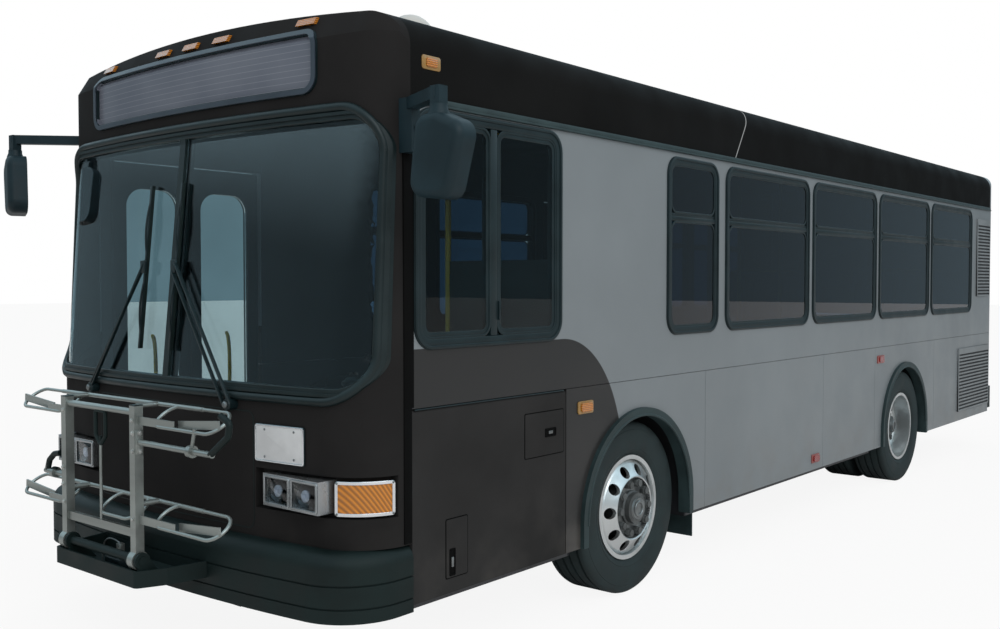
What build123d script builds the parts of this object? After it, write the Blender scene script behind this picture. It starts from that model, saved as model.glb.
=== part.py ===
from build123d import *
import os
from math import atan2, cos, pi, sin, sqrt

# City bus, low floor, two axles. Millimetres, +X forward, +Y to the driver's side, +Z up.
# Stations are counted rearwards from the line where the front mask meets the side walls.

# Body shell
HALF_WIDTH = 1295.0
WALL = 55.0
SKIRT_Z = 375.0
SILL_Z = 1230.0
ROOF_Z = 2990.0
ROOF_RISE = 430.0
EAVES_Z = ROOF_Z - ROOF_RISE
ROOF_BOW_R = 13000.0
ROOF_CORNER_R = 150.0
ROOF_WALL = 50.0
BODY_LENGTH = 9055.0
REAR_OVERHANG = 2805.0
REAR_AXLE = BODY_LENGTH - REAR_OVERHANG
TAIL_DEPTH = 140.0
TAIL_CORNER_R = 120.0
PANEL_GAP = 3.0
FIT = 0.3

# Front mask: plan outline is a bowed nose with round corners
NOSE_X = 370.0
NOSE_BOW_R = 7500.0
NOSE_CORNER_R = 270.0
BROW_CORNER_R = 170.0
MASK_Z = 645.0
RAKE_START_Z = 1300.0
RAKE_END_Z = EAVES_Z - 110.0
RAKE_BACK = 115.0
BROW_Z = ROOF_Z - 150.0
BROW_INSET = 90.0

# Windshield: rubber outside, glass inside it, split in the middle
SCREEN_HALF = 1281.0
SCREEN_Z = (1290.0, EAVES_Z - 50.0)
SCREEN_R = 170.0
RUBBER = 34.0
DIVIDER = 44.0
GLASS = 8.0

# Destination sign
SIGN_HALF = 925.0
SIGN_Z = (EAVES_Z + 40.0, ROOF_Z - 100.0)
SIGN_R = 80.0
SIGN_RIM = 30.0

# Side windows
WINDOW_Z = (1465.0, EAVES_Z - 37.0)
WINDOW_R = 110.0
FRAME_WIDTH = 48.0
FRAME_PROUD = 8.0
TRANSOM_Z = WINDOW_Z[1] - 358.0
NARROW_STATION = 2126.0
NARROW_WIDTH = 624.0
WIDE_STATION = 2848.0
WIDE_COUNT = 4
WIDE_GAP = 66.0
REAR_BLANK = 755.0
WIDE_PITCH = (BODY_LENGTH - REAR_BLANK - WIDE_STATION) / WIDE_COUNT
WIDE_WIDTH = WIDE_PITCH - WIDE_GAP
DRIVER_STATION = 15.0
DRIVER_WIDTH = 1070.0
DRIVER_Z = (1480.0, EAVES_Z - 20.0)

# Doors on the curb side: stations of the jambs
FRONT_DOOR = (70.0, 1150.0)
REAR_DOOR = (REAR_AXLE - 2000.0, REAR_AXLE - 800.0)
DOOR_TOP_Z = EAVES_Z - 60.0
LEAF = 44.0
DOOR_GAP = 8.0
DOOR_STILE = 75.0
DOOR_PIN_R = 14.0

# Skirt seams: stations where the lower panels meet
SEAM_FRONT = 1132.0
SEAM_ARCH = 2602.0
SEAM_REAR_ARCH = REAR_AXLE - 730.0
SEAM_TAIL = REAR_AXLE + 820.0
SEAM_SHARE = 0.63
SEAM_MID = SEAM_ARCH + SEAM_SHARE * (SEAM_REAR_ARCH - SEAM_ARCH)

# Axles, wheels and arches
FRONT_AXLE = 1840.0
TYRE_R = 490.0
TYRE_WIDTH = 290.0
TREAD_WIDTH = 236.0
RIM_R = 286.0
RIM_WIDTH = 232.0
FLANGE = 12.0
FRONT_TRACK = 2190.0
OUTER_TRACK = 2260.0
INNER_TRACK = 1600.0
KINGPIN_OFFSET = 190.0
KINGPIN_R = 22.0
SPINDLE_R = 45.0
DRUM_R = 206.0
DRUM_SET = 60.0
ARCH_R = 578.0
ARCH_TRIM = 44.0
ARCH_PROUD = 24.0
HOUSING_R = 600.0
HOUSING_WALL = 20.0
FRONT_HOUSING_Y = 580.0
REAR_HOUSING_Y = 620.0
PIN_CLEAR = 0.05
RUN_CLEAR = 0.3
BODY_CLEAR = 5.0

# Floors and underframe
FLOOR_Z = 395.0
FLOOR_T = 60.0
PLATFORM_Z = 900.0
PLATFORM_T = 50.0
STEP_STATION = REAR_AXLE - 760.0
NOSE_FLOOR_Y = 992.0
RAIL_Y = 430.0
RAIL_WIDTH = 80.0
RAIL_H = 60.0
REAR_RAIL_H = 150.0

# Bumpers
BUMPER_Z = 350.0
BUMPER_REACH = 90.0
BUMPER_T = 95.0
BUMPER_CORNER_R = 300.0
REAR_BUMPER_Z = 410.0
REAR_BUMPER_REACH = 60.0
TAIL_Z = 640.0

# Bike rack, stowed upright
RACK_X = 710.0
RACK_PIVOT_Z = 552.0
RACK_POST_Y = 300.0
RACK_TOP_Z = 1216.0
RACK_TRAY_Z = (735.0, 1172.0)
RACK_TRAY_DEPTH = 110.0
RACK_TRAY_RISE = 62.0
RACK_EYE_R = 42.0
RACK_PIN_R = 20.0
RACK_POST = 42.0
RACK_ROD_R = 10.0
RACK_GUARD_R = 8.0

# Mirrors
MIRROR_REACH = 1775.0
MIRROR_DEPTH = 105.0
LEFT_ARM_Z = EAVES_Z - 28.0
RIGHT_ARM_Z = EAVES_Z + 46.0
LEFT_MIRROR_X = 160.0
RIGHT_MIRROR_X = 320.0
RIGHT_MIRROR_TURN = 20.0
LEFT_MIRROR_Z = EAVES_Z - 275.0
RIGHT_MIRROR_Z = EAVES_Z - 215.0

# Tail and service doors
ENGINE_DOOR_HALF = 900.0
ENGINE_DOOR_Z = (700.0, 1400.0)

# Driver's place
WHEEL_RIM_R = 235.0
WHEEL_RIM_TUBE = 17.0
WHEEL_HUB_R = 45.0
SPOKE_COUNT = 3
COLUMN_R = 32.0
COLUMN_LENGTH = 500.0
COLUMN_PIN = 60.0
DASH_Y = (130.0, 1050.0)
DASH_BACK = (-320.0, -380.0)
DASH_LIP_Z = 980.0
DASH_CREST_X = -150.0
DASH_TOP_Z = 1190.0
DASH_FRONT = 150.0
DASH_T = 30.0
COLUMN_TOP = (-500.0, 640.0, 1190.0)
COLUMN_TILT = 22.0
SEAT_Y = 640.0
DRIVER_SEAT_STATION = 720.0
DRIVER_SEAT_WIDTH = 473.0

# Seats for passengers
SEAT_WIDTH = 850.0
SEAT_DEPTH = 430.0
SEAT_HEIGHT = 440.0
SEAT_BACK = 560.0
SEAT_SHELL = 45.0
SEAT_PITCH = 740.0

INNER_Y = HALF_WIDTH - WALL
SIDE_END = BODY_LENGTH - TAIL_DEPTH
FRONT_REACH = RACK_X + RACK_EYE_R
REAR_REACH = BODY_LENGTH + REAR_BUMPER_REACH
ORIGIN_X = (FRONT_REACH - REAR_REACH) / 2
FLOOR_UNDER = FLOOR_Z - FLOOR_T
PLATFORM_UNDER = PLATFORM_Z - PLATFORM_T
KINGPIN_Y = FRONT_TRACK / 2 - KINGPIN_OFFSET

LAMP_RECESS_Z = (776.0, 955.0)
LAMP_RECESS_Y = (660.0, 1400.0)
LAMP_RECESS = 42.0
LAMP_RECESS_X = 75.0
SIGNAL_X = 90.0
SIGNAL_SUNK = 12.0
HEADLAMP_Y = (722.0, 1090.0)
HEADLAMP_Z = (797.0, 938.0)
SIGNAL_Y = (1118.0, 1320.0)
SIGNAL_Z = (792.0, 930.0)
PLATE_Y = 815.0
PLATE_Z = 1070.0
PLATE_BOLTS = (177.8, 120.65)
PLATE_BOLT_R = 3.5

CLEARANCE_LAMP_Y = (0.0, 245.0, -245.0, 820.0, -820.0)
CLEARANCE_LAMP_Z = (ROOF_Z - 75.0, ROOF_Z - 45.0)
CLEARANCE_LAMP_HALF = 55.0
LAMP_PROUD = 18.0
SIDE_LAMP = (100.0, 46.0)
SIDE_AMBER = (1300.0, 1120.0)
SIDE_RED = (REAR_AXLE - 605.0, 1125.0)
LOW_RED = (REAR_AXLE - 1953.0, 459.0)

TAIL_LAMP_R = 52.0
TAIL_LAMP_Y = 1120.0
TAIL_LAMP_Z = (1010.0, 1150.0, 1290.0, 1430.0)
HIGH_LAMP_Z = ROOF_Z - 210.0

ENGINE_DOOR_AXIS = (-BODY_LENGTH + WALL / 2, ENGINE_DOOR_Z[1] - DOOR_GAP - WALL / 2)
SERVICE_DOOR_T = WALL - DOOR_GAP
SERVICE_AXIS = (HALF_WIDTH - SERVICE_DOOR_T / 2, SILL_Z - BODY_CLEAR - SERVICE_DOOR_T / 2)

SPRING_R = 90.0
SPRING_TOP_Z = 680.0
BEAM_Z = (175.0, 265.0)
BEAM_HALF = 45.0
CROSS_COUNT = 6
TOW_EYE_X = 240.0
TOW_EYE_R = 25.0
CROSS_WIDTH = 60.0

BOSS_R = 52.0
BOSS_HALF = 60.0
EAR_H = 45.0
ARM_LENGTH = 230.0
TIE_Z = 235.0
TIE_R = 20.0
TIE_BOSS_R = 24.0
TIE_BAR_R = 16.0
TIE_EYE_R = 30.0
TIE_PIN_R = 14.0
AXLE_TUBE_R = 92.0
DIFF_R = 210.0
REAR_SPINDLE_R = 50.0

HAND_HOLES = 10
HAND_HOLE_R = 32.0
HAND_HOLE_CIRCLE = 218.0
DISC_T = 22.0
FRONT_DISC = (
    # radius, depth behind the outer edge of the rim; below zero it stands outside the edge
    (280.0, 30.0),
    (268.0, 8.0),
    (252.0, -8.0),
    (226.0, -24.0),
    (200.0, -41.0),
    (186.0, -50.0),
    (180.0, -53.0),
    (174.0, -50.0),
    (168.0, -24.0),
    (100.0, -24.0),
)
REAR_DISC = (
    (280.0, 150.0),
    (256.0, 124.0),
    (226.0, 128.0),
    (186.0, 152.0),
    (100.0, 152.0),
)
FRONT_HUB = (
    # radius, height above the hub's seat
    (98.0, 0.0),
    (98.0, 10.0),
    (88.0, 16.0),
    (86.0, 44.0),
    (64.0, 48.0),
    (60.0, 58.0),
)
REAR_HUB = (
    (98.0, 0.0),
    (98.0, 18.0),
    (86.0, 30.0),
    (84.0, 88.0),
    (64.0, 94.0),
    (60.0, 112.0),
)
LUG_COUNT = 10
LUG_R = 19.0
LUG_CIRCLE = 143.0
LUG_PROUD = 40.0
FRONT_BORE_END = 30.0
REAR_BORE_END = 60.0
SPINDLE_GAP = 10.0

FLAP_T = 10.0
FLAP_SET = 95.0
FLAP_Z = 190.0
FLAP_Y = (950.0, 1235.0)

BUMPER_GROOVES = (0.21, 0.54)
BUMPER_EDGE_R = 68.0
GROOVE_H = 8.0
GROOVE_DEPTH = 7.0

RACK_PIN_HALF = 345.0
RACK_BASE_Z = (440.0, 515.0)
RACK_BASE_OUTLINE = (
    # forwards, then half width
    (NOSE_X, 450.0),
    (NOSE_X + 256.0, 402.0),
    (FRONT_REACH, 348.0),
)
RACK_BASE_ROUND = 26.0
RACK_BASE_WALL = 11.0
RACK_LUG = 16.0
RACK_LUG_FOOT = (585.0, 735.0)
RACK_LUG_HEAD = (690.0, 726.0)

NEAR_SLOT = (415.0, 872.0)
FAR_SLOT = (330.0, 768.0)
INNER_SLOT = (-35.0, 258.0)
SLOT_DROP = 15.0
STRIP_H = 36.0
STRIP_T = 8.0
NEAR_BEND_Y = 590.0
FAR_BEND_Y = 480.0
CROSS_TUBE_Z = 1206.0
CROSS_TUBE_R = 15.0
LOW_BAR_Z = (652.0, 690.0)
HOOK_ARM_R = 13.0
HOOK_LINK_R = 8.0
HOOK_RING_R = 26.0
HOOK_R = 14.0
NEAR_HOOK = (
    # outwards and up, from the end of the arm
    (852.0, 1076.0),
    (972.0, 1160.0),
    (984.0, 1216.0),
    (922.0, 1241.0),
)
FAR_HOOK = (
    (500.0, 858.0),
    (478.0, 912.0),
    (430.0, 946.0),
    (372.0, 956.0),
)
NEAR_RING_Y = 705.0
FAR_RING_Y = 410.0
HANDLE_ROD_R = 7.0
HANDLE_Z = (1075.0, 1190.0)
HANDLE_HALF = 42.0

MIRROR_ARM = 50.0
MIRROR_OUTLINE = (
    # inwards from the reach, up from the centre
    (262.0, 160.0),
    (150.0, 170.0),
    (0.0, 108.0),
    (82.0, -186.0),
    (300.0, -160.0),
)
MIRROR_ROUND = 68.0
MIRROR_EDGE_R = 36.0
MIRROR_HANG = 165.0
MIRROR_FOOT = (34.0, 1335.0)
BRACKET_DROP = 205.0
WIPER_PIVOT_Z = 1228.0
WIPER_BLADE_Z = (SCREEN_Z[0] + 160.0, SCREEN_Z[1] - 250.0)

WIPERS = (
    # pivot width, blade width
    (520.0, 40.0),
    (-690.0, -230.0),
)
WIPER_STAND = 42.0
BLADE_STAND = 22.0
WIPER_R = 9.0
WIPER_ARM_R = 7.2
WIPER_BOSS_R = 27.0

HIGH_ROWS = 2
LOW_ROW_STATION = 2640.0
HIGH_ROW_STATION = REAR_AXLE + 710.0
LEFT_ROWS = int((STEP_STATION - LOW_ROW_STATION) / SEAT_PITCH)
CURB_ROWS = int((REAR_DOOR[0] - LOW_ROW_STATION) / SEAT_PITCH)

BARRIER_STATION = 1145.0
BARRIER_T = 30.0
BARRIER_TOP_Z = 1900.0

POLE_R = 17.0
POLE_Y = 352.0
POLES = (
    # station, side of the aisle, floor height
    (1260.0, 1, FLOOR_Z),
    (2560.0, -1, FLOOR_Z),
    (2560.0, 1, FLOOR_Z),
    (REAR_DOOR[0] - 70.0, -1, FLOOR_Z),
    (REAR_AXLE - 1350.0, 1, FLOOR_Z),
    (REAR_AXLE - 550.0, -1, PLATFORM_Z),
    (REAR_AXLE - 550.0, 1, PLATFORM_Z),
)

ENGINE_LENGTH = 1450.0
ENGINE_REAR = 115.0
ENGINE_STATION = SIDE_END - ENGINE_REAR - ENGINE_LENGTH
ENGINE_Z = (330.0, 800.0)

RADIATOR_STATION = (SIDE_END - 1100.0, SIDE_END - 25.0)
RADIATOR_Z = (470.0, 1106.0)
VENT_STATION = (SIDE_END - 495.0, SIDE_END - 25.0)
VENT_Z = (1630.0, EAVES_Z - 120.0)
SLAT_PITCH = 34.0
SLAT_T = 16.0
GRILLE_RIM = 16.0
GRILLE_T = 15.0

DOME_R = 120.0
DOME_SUNK = 15.0
DOME_PLACE = (-420.0, 880.0)


def block(x, y, z):
    """Box between three (low, high) pairs."""
    size = [high - low for low, high in (x, y, z)]
    middle = [(high + low) / 2 for low, high in (x, y, z)]
    return Pos(*middle) * Box(*size)


def rod(start, end, radius):
    """Round bar between two points."""
    axis = Vector(*end) - Vector(*start)
    place = Plane(origin=start, z_dir=axis)
    return place * Cylinder(radius, axis.length, align=(Align.CENTER, Align.CENTER, Align.MIN))


def tube_path(points, radius, bend):
    """Round bar along a list of points, bent to a radius at each corner."""
    path = FilletPolyline(*points, radius=bend)
    start = Plane(origin=path @ 0, z_dir=path % 0)
    return sweep(start * Circle(radius), path=path)


def bar_y(x, z, y, radius):
    """Round bar along Y between y[0] and y[1]."""
    return rod((x, y[0], z), (x, y[1], z), radius)


def both_sides(solid):
    """The solid and its mirror image across the centre plane."""
    return [solid, mirror(solid, about=Plane.XZ)]


def solids_of(*groups):
    """One compound of all solids in the groups."""
    found = []
    for group in groups:
        for shape in group if isinstance(group, (list, tuple)) else [group]:
            found.extend(shape.solids())
    return Compound(found)


def arch_face(plane, half, apex, bow_r, corner_r, base, inset=0.0):
    """Outline with two straight sides, round corners and a bowed top, moved inwards by inset."""
    bow_v = apex - bow_r
    corner_u = half - corner_r
    reach = bow_r - corner_r
    corner_v = bow_v + sqrt(reach**2 - corner_u**2)
    radius = corner_r - inset
    turn = atan2(corner_v - bow_v, corner_u)
    side = half - inset
    meet = ((bow_r - inset) * cos(turn), bow_v + (bow_r - inset) * sin(turn))
    middle = (corner_u + radius * cos(turn / 2), corner_v + radius * sin(turn / 2))
    edges = [
        Line((side, base), (side, corner_v)),
        ThreePointArc((side, corner_v), middle, meet),
        ThreePointArc(meet, (0, apex - inset), (-meet[0], meet[1])),
        ThreePointArc((-meet[0], meet[1]), (-middle[0], middle[1]), (-side, corner_v)),
        Line((-side, corner_v), (-side, base)),
        Line((-side, base), (side, base)),
    ]
    return plane * make_face(edges)


def level(z, x=0.0):
    """Plane at height z whose second direction points forward."""
    return Plane(origin=(x, 0, z), x_dir=(0, -1, 0), z_dir=(0, 0, 1))


def across(x):
    """Plane across the bus at x, drawn with Y to the right and Z up."""
    return Plane(origin=(x, 0, 0), x_dir=(0, 1, 0), z_dir=(1, 0, 0))


def roof_section(x, inset, base):
    return arch_face(across(x), HALF_WIDTH, ROOF_Z, ROOF_BOW_R, ROOF_CORNER_R, base, inset)


def mask_body(inset):
    """Solid nose of the bus with its skin moved inwards by inset."""
    below = MASK_Z - max(inset, 0.0)
    behind = -BODY_LENGTH / 10
    sections = [
        # height, shift back, corner radius, extra inset
        (below, 0.0, NOSE_CORNER_R, 0.0),
        (RAKE_START_Z, 0.0, NOSE_CORNER_R, 0.0),
        (RAKE_END_Z, RAKE_BACK, BROW_CORNER_R, 0.0),
        (BROW_Z, RAKE_BACK, BROW_CORNER_R, 0.0),
        (ROOF_Z + BODY_CLEAR, RAKE_BACK, BROW_CORNER_R, BROW_INSET),
    ]
    faces = []
    for z, back, corner_r, extra in sections:
        plane = level(z, -back)
        faces.append(
            arch_face(plane, HALF_WIDTH, NOSE_X, NOSE_BOW_R, corner_r, behind, inset + extra)
        )
    nose = loft(faces, ruled=True)
    start = -max(inset, 0.0)
    return nose & extrude(roof_section(start, inset, 0.0), NOSE_X * 2)


def front_prism(half, z, radius, y=0.0):
    """Rounded rectangle seen from the front, pushed through the nose."""
    height = z[1] - z[0]
    outline = Pos(y, (z[0] + z[1]) / 2) * RectangleRounded(2 * half, height, radius)
    return extrude(across(0.0) * outline, NOSE_X * 2)


def side_prism(station, width, z, radius, y):
    """Rounded rectangle seen from the side, between y[0] and y[1]."""
    centre = Pos(-station - width / 2, (z[0] + z[1]) / 2)
    outline = Plane.XZ * (centre * RectangleRounded(width, z[1] - z[0], radius))
    return Pos(0, y[0], 0) * extrude(outline, -(y[1] - y[0]))


def wheel_disc(station, radius, y):
    """Disc about a wheel's axis between y[0] and y[1]."""
    return bar_y(-station, TYRE_R, y, radius)


# Side walls

def window_table(curb_side):
    """Front station, width, height range and whether the glass slides, for each window."""
    rows = [(NARROW_STATION, NARROW_WIDTH, WINDOW_Z, False)]
    for index in range(WIDE_COUNT):
        rows.append((WIDE_STATION + index * WIDE_PITCH, WIDE_WIDTH, WINDOW_Z, False))
    if curb_side:
        return [row for row in rows if row[0] > REAR_DOOR[1] or row[0] + row[1] < REAR_DOOR[0]]
    return rows + [(DRIVER_STATION, DRIVER_WIDTH, DRIVER_Z, True)]


def side_panel(front, rear, bottom, top):
    """Panel of the driver's side wall between two stations."""
    x = (-rear + PANEL_GAP / 2, -front - PANEL_GAP / 2)
    return block(x, (INNER_Y, HALF_WIDTH), (bottom, top))


def skirt_panel(front, rear):
    """Lower panel with the wheel arches cut out of it."""
    panel = side_panel(front, rear, SKIRT_Z, SILL_Z - PANEL_GAP)
    for axle in (FRONT_AXLE, REAR_AXLE):
        panel -= wheel_disc(axle, ARCH_R, (INNER_Y - WALL, HALF_WIDTH + WALL))
        slot = (-axle - ARCH_R, -axle + ARCH_R)
        panel -= block(slot, (INNER_Y - WALL, HALF_WIDTH + WALL), (0, TYRE_R))
    return panel


def upper_wall(front, rear, curb_side):
    wall = block((-rear, -front), (INNER_Y, HALF_WIDTH), (SILL_Z, EAVES_Z))
    for station, width, z, _ in window_table(curb_side):
        if front <= station and station + width <= rear:
            wall -= side_prism(station, width, z, WINDOW_R, (INNER_Y - WALL, HALF_WIDTH + WALL))
    return wall


def left_side():
    skirts = [
        skirt_panel(SEAM_FRONT, SEAM_ARCH),
        skirt_panel(SEAM_ARCH, SEAM_MID),
        skirt_panel(SEAM_MID, SEAM_REAR_ARCH),
        skirt_panel(SEAM_REAR_ARCH, SEAM_TAIL),
        skirt_panel(SEAM_TAIL, SIDE_END),
    ]
    return solids_of(upper_wall(0.0, SIDE_END, False), skirts)


def door_header(jambs, front, rear):
    """Frame over a door, with what is left of the wall beside it."""
    panel = side_panel(front, rear, SKIRT_Z, EAVES_Z)
    doorway = (-jambs[1] - PANEL_GAP, -jambs[0])
    return panel - block(doorway, (INNER_Y - WALL, HALF_WIDTH + WALL), (0, DOOR_TOP_Z))


def right_side():
    pieces = [
        upper_wall(FRONT_DOOR[1], REAR_DOOR[0], True),
        upper_wall(REAR_DOOR[1], SIDE_END, True),
        skirt_panel(FRONT_DOOR[1], SEAM_ARCH),
        skirt_panel(SEAM_ARCH, REAR_DOOR[0]),
        skirt_panel(REAR_DOOR[1], SEAM_TAIL),
        skirt_panel(SEAM_TAIL, SIDE_END),
        door_header(FRONT_DOOR, 0.0, FRONT_DOOR[1]),
        door_header(REAR_DOOR, REAR_DOOR[0], REAR_DOOR[1]),
    ]
    return solids_of([mirror(piece, about=Plane.XZ) for piece in pieces])


def window_openings(station, width, z, slides):
    """Glass openings inside one window frame: beside each other, or one above the other."""
    inner = (station + FRAME_WIDTH, width - 2 * FRAME_WIDTH)
    low = z[0] + FRAME_WIDTH
    high = z[1] - FRAME_WIDTH
    if slides:
        half = (inner[1] - FRAME_WIDTH) / 2
        return [(inner[0], half, (low, high)), (inner[0] + half + FRAME_WIDTH, half, (low, high))]
    below = TRANSOM_Z - FRAME_WIDTH / 2
    above = TRANSOM_Z + FRAME_WIDTH / 2
    return [(*inner, (low, below)), (*inner, (above, high))]


def window_set(curb_side):
    """Frames and panes of one side, built on the driver's side."""
    frames = []
    panes = []
    pane_r = WINDOW_R - FRAME_WIDTH
    glass_y = (HALF_WIDTH - GLASS, HALF_WIDTH)
    for station, width, z, slides in window_table(curb_side):
        outer_z = (z[0] + FIT, z[1] - FIT)
        frame_y = (INNER_Y, HALF_WIDTH + FRAME_PROUD)
        frame = side_prism(station + FIT, width - 2 * FIT, outer_z, WINDOW_R - FIT, frame_y)
        for opening in window_openings(station, width, z, slides):
            frame -= side_prism(*opening, pane_r, (INNER_Y - WALL, HALF_WIDTH + WALL))
            front, breadth, height = opening
            inside = (height[0] + FIT, height[1] - FIT)
            panes.append(
                side_prism(front + FIT, breadth - 2 * FIT, inside, pane_r - FIT, glass_y)
            )
        frames.append(frame)
    if curb_side:
        frames = [mirror(frame, about=Plane.XZ) for frame in frames]
        panes = [mirror(pane, about=Plane.XZ) for pane in panes]
    return frames, panes


# Roof, front mask and tail

def roof():
    section = roof_section(-SIDE_END, 0.0, 0.0) - roof_section(-SIDE_END, ROOF_WALL, -WALL)
    shell = extrude(section, SIDE_END)
    return shell - block((-BODY_LENGTH, WALL), (-ROOF_Z, ROOF_Z), (-ROOF_Z, EAVES_Z))


def front_block(y, z):
    """Block through the nose between two widths and two heights."""
    return block((0, NOSE_X * 2), y, z)


def front_mask():
    shell = mask_body(0.0) - mask_body(WALL)
    shell -= front_prism(SCREEN_HALF, SCREEN_Z, SCREEN_R)
    shell -= front_prism(SIGN_HALF, SIGN_Z, SIGN_R)
    skin = mask_body(-BODY_CLEAR) - mask_body(LAMP_RECESS)
    for recess in both_sides(block((LAMP_RECESS_X, NOSE_X * 2), LAMP_RECESS_Y, LAMP_RECESS_Z)):
        shell -= skin & recess
    for y in (PLATE_Y - PLATE_BOLTS[0] / 2, PLATE_Y + PLATE_BOLTS[0] / 2):
        for z in (PLATE_Z - PLATE_BOLTS[1] / 2, PLATE_Z + PLATE_BOLTS[1] / 2):
            shell -= rod((0, y, z), (NOSE_X * 2, y, z), PLATE_BOLT_R)
    return shell


def windshield():
    """Rubber frame with its centre strip, and the two panes in it."""
    glass_half = SCREEN_HALF - RUBBER
    glass_z = (SCREEN_Z[0] + RUBBER, SCREEN_Z[1] - RUBBER)
    glass_r = SCREEN_R - RUBBER
    ring = front_prism(SCREEN_HALF - FIT, (SCREEN_Z[0] + FIT, SCREEN_Z[1] - FIT), SCREEN_R - FIT)
    ring -= front_prism(glass_half, glass_z, glass_r)
    strip = front_block((-DIVIDER / 2, DIVIDER / 2), SCREEN_Z)
    strip &= front_prism(glass_half + RUBBER / 2, glass_z, glass_r)
    rubber = (mask_body(-FRAME_PROUD) - mask_body(WALL)) & (ring + strip)
    pane_z = (glass_z[0] + FIT, glass_z[1] - FIT)
    screen = front_prism(glass_half - FIT, pane_z, glass_r - FIT)
    screen -= front_block((-DIVIDER / 2 - FIT, DIVIDER / 2 + FIT), SCREEN_Z)
    panes = (mask_body(GLASS) - mask_body(GLASS * 2)) & screen
    return rubber, solids_of(panes)


def destination_sign():
    """Rounded rim with a dark pane, let into the header."""
    rim_z = (SIGN_Z[0] + FIT, SIGN_Z[1] - FIT)
    outer = front_prism(SIGN_HALF - FIT, rim_z, SIGN_R - FIT)
    whole = (mask_body(-FRAME_PROUD) - mask_body(WALL)) & outer
    pane_z = (SIGN_Z[0] + SIGN_RIM, SIGN_Z[1] - SIGN_RIM)
    sunk = front_prism(SIGN_HALF - SIGN_RIM, pane_z, SIGN_R - SIGN_RIM)
    skin = mask_body(-FRAME_PROUD - BODY_CLEAR) - mask_body(FRAME_PROUD)
    return whole - (skin & sunk)


def headlamps():
    """Flat-faced pair of square lamps on each side, seated in the recess."""
    front = NOSE_X - LAMP_RECESS / 2
    body = block((0, front), HEADLAMP_Y, HEADLAMP_Z)
    body -= mask_body(LAMP_RECESS)
    rim = (HEADLAMP_Z[1] - HEADLAMP_Z[0]) / 12
    middle = (HEADLAMP_Y[0] + HEADLAMP_Y[1]) / 2
    lens_z = (HEADLAMP_Z[0] + rim, HEADLAMP_Z[1] - rim)
    for lens_y in ((HEADLAMP_Y[0] + rim, middle - rim), (middle + rim, HEADLAMP_Y[1] - rim)):
        body -= block((front - rim, front + rim), lens_y, lens_z)
    return solids_of(both_sides(body))


def side_lamp(station, z):
    """Small lamp on the driver's side wall."""
    width, height = SIDE_LAMP
    z_range = (z - height / 2, z + height / 2)
    y = (HALF_WIDTH, HALF_WIDTH + LAMP_PROUD)
    return side_prism(station - width / 2, width, z_range, height / 3, y)


def amber_lamps():
    lamps = []
    lens_skin = mask_body(-LAMP_PROUD) - mask_body(0.0)
    for y in CLEARANCE_LAMP_Y:
        sides = (y - CLEARANCE_LAMP_HALF, y + CLEARANCE_LAMP_HALF)
        lamps.append(lens_skin & front_block(sides, CLEARANCE_LAMP_Z))
    signal_skin = mask_body(SIGNAL_SUNK) - mask_body(LAMP_RECESS)
    lamps += both_sides(signal_skin & block((SIGNAL_X, NOSE_X * 2), SIGNAL_Y, SIGNAL_Z))
    lamps += both_sides(side_lamp(*SIDE_AMBER))
    return solids_of(lamps)


def red_lamps():
    """Round lamps on the tail, high stop lamps and red side markers."""
    lamps = []
    tail = (-BODY_LENGTH - LAMP_PROUD, -BODY_LENGTH)
    for z in (*TAIL_LAMP_Z, HIGH_LAMP_Z):
        lamps += both_sides(rod((tail[1], TAIL_LAMP_Y, z), (tail[0], TAIL_LAMP_Y, z), TAIL_LAMP_R))
    lamps += both_sides(side_lamp(*SIDE_RED))
    lamps.append(side_lamp(*LOW_RED))
    return solids_of(lamps)


def tail_body(inset, z):
    """Solid tail with round rear corners, moved inwards by inset."""
    radius = TAIL_CORNER_R - inset
    half = HALF_WIDTH - inset
    x = (-BODY_LENGTH + inset, -SIDE_END + inset)
    tail = block(x, (-half, half), z)
    rear_edges = tail.edges().filter_by(Axis.Z).group_by(Axis.X)[0]
    return fillet(rear_edges, radius)


def tail_cap():
    section = extrude(roof_section(-BODY_LENGTH, 0.0, 0.0), TAIL_DEPTH)
    hollow = extrude(roof_section(-BODY_LENGTH, ROOF_WALL, -WALL), TAIL_DEPTH + WALL)
    cap = tail_body(0.0, (TAIL_Z, ROOF_Z)) & section
    cap -= tail_body(WALL, (0, ROOF_Z)) & hollow
    opening = (-ENGINE_DOOR_HALF, ENGINE_DOOR_HALF)
    return cap - block((-BODY_LENGTH - WALL, -SIDE_END), opening, ENGINE_DOOR_Z)


def hinged_panel(length, drop, thickness, end_pin):
    """Panel hanging from a round top edge along X, its axis through the origin."""
    half = length / 2
    panel = block((-half, half), (-thickness / 2, thickness / 2), (-drop, 0))
    panel += rod((-half, 0, 0), (half, 0, 0), thickness / 2)
    return panel + rod((-half - end_pin, 0, 0), (half + end_pin, 0, 0), DOOR_PIN_R)


def engine_door():
    drop = ENGINE_DOOR_AXIS[1] - ENGINE_DOOR_Z[0] - DOOR_GAP
    length = 2 * (ENGINE_DOOR_HALF - DOOR_GAP)
    panel = hinged_panel(length, drop, WALL, DOOR_GAP - FIT)
    return Pos(ENGINE_DOOR_AXIS[0], 0, ENGINE_DOOR_AXIS[1]) * (Rot(0, 0, 90) * panel)


def service_door():
    """Flap below the driver's window, on a hinge along its top edge."""
    drop = SERVICE_AXIS[1] - SKIRT_Z
    length = SEAM_FRONT - 2 * BODY_CLEAR
    panel = hinged_panel(length, drop, SERVICE_DOOR_T, BODY_CLEAR - FIT)
    return Pos(-SEAM_FRONT / 2, SERVICE_AXIS[0], SERVICE_AXIS[1]) * panel


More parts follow.
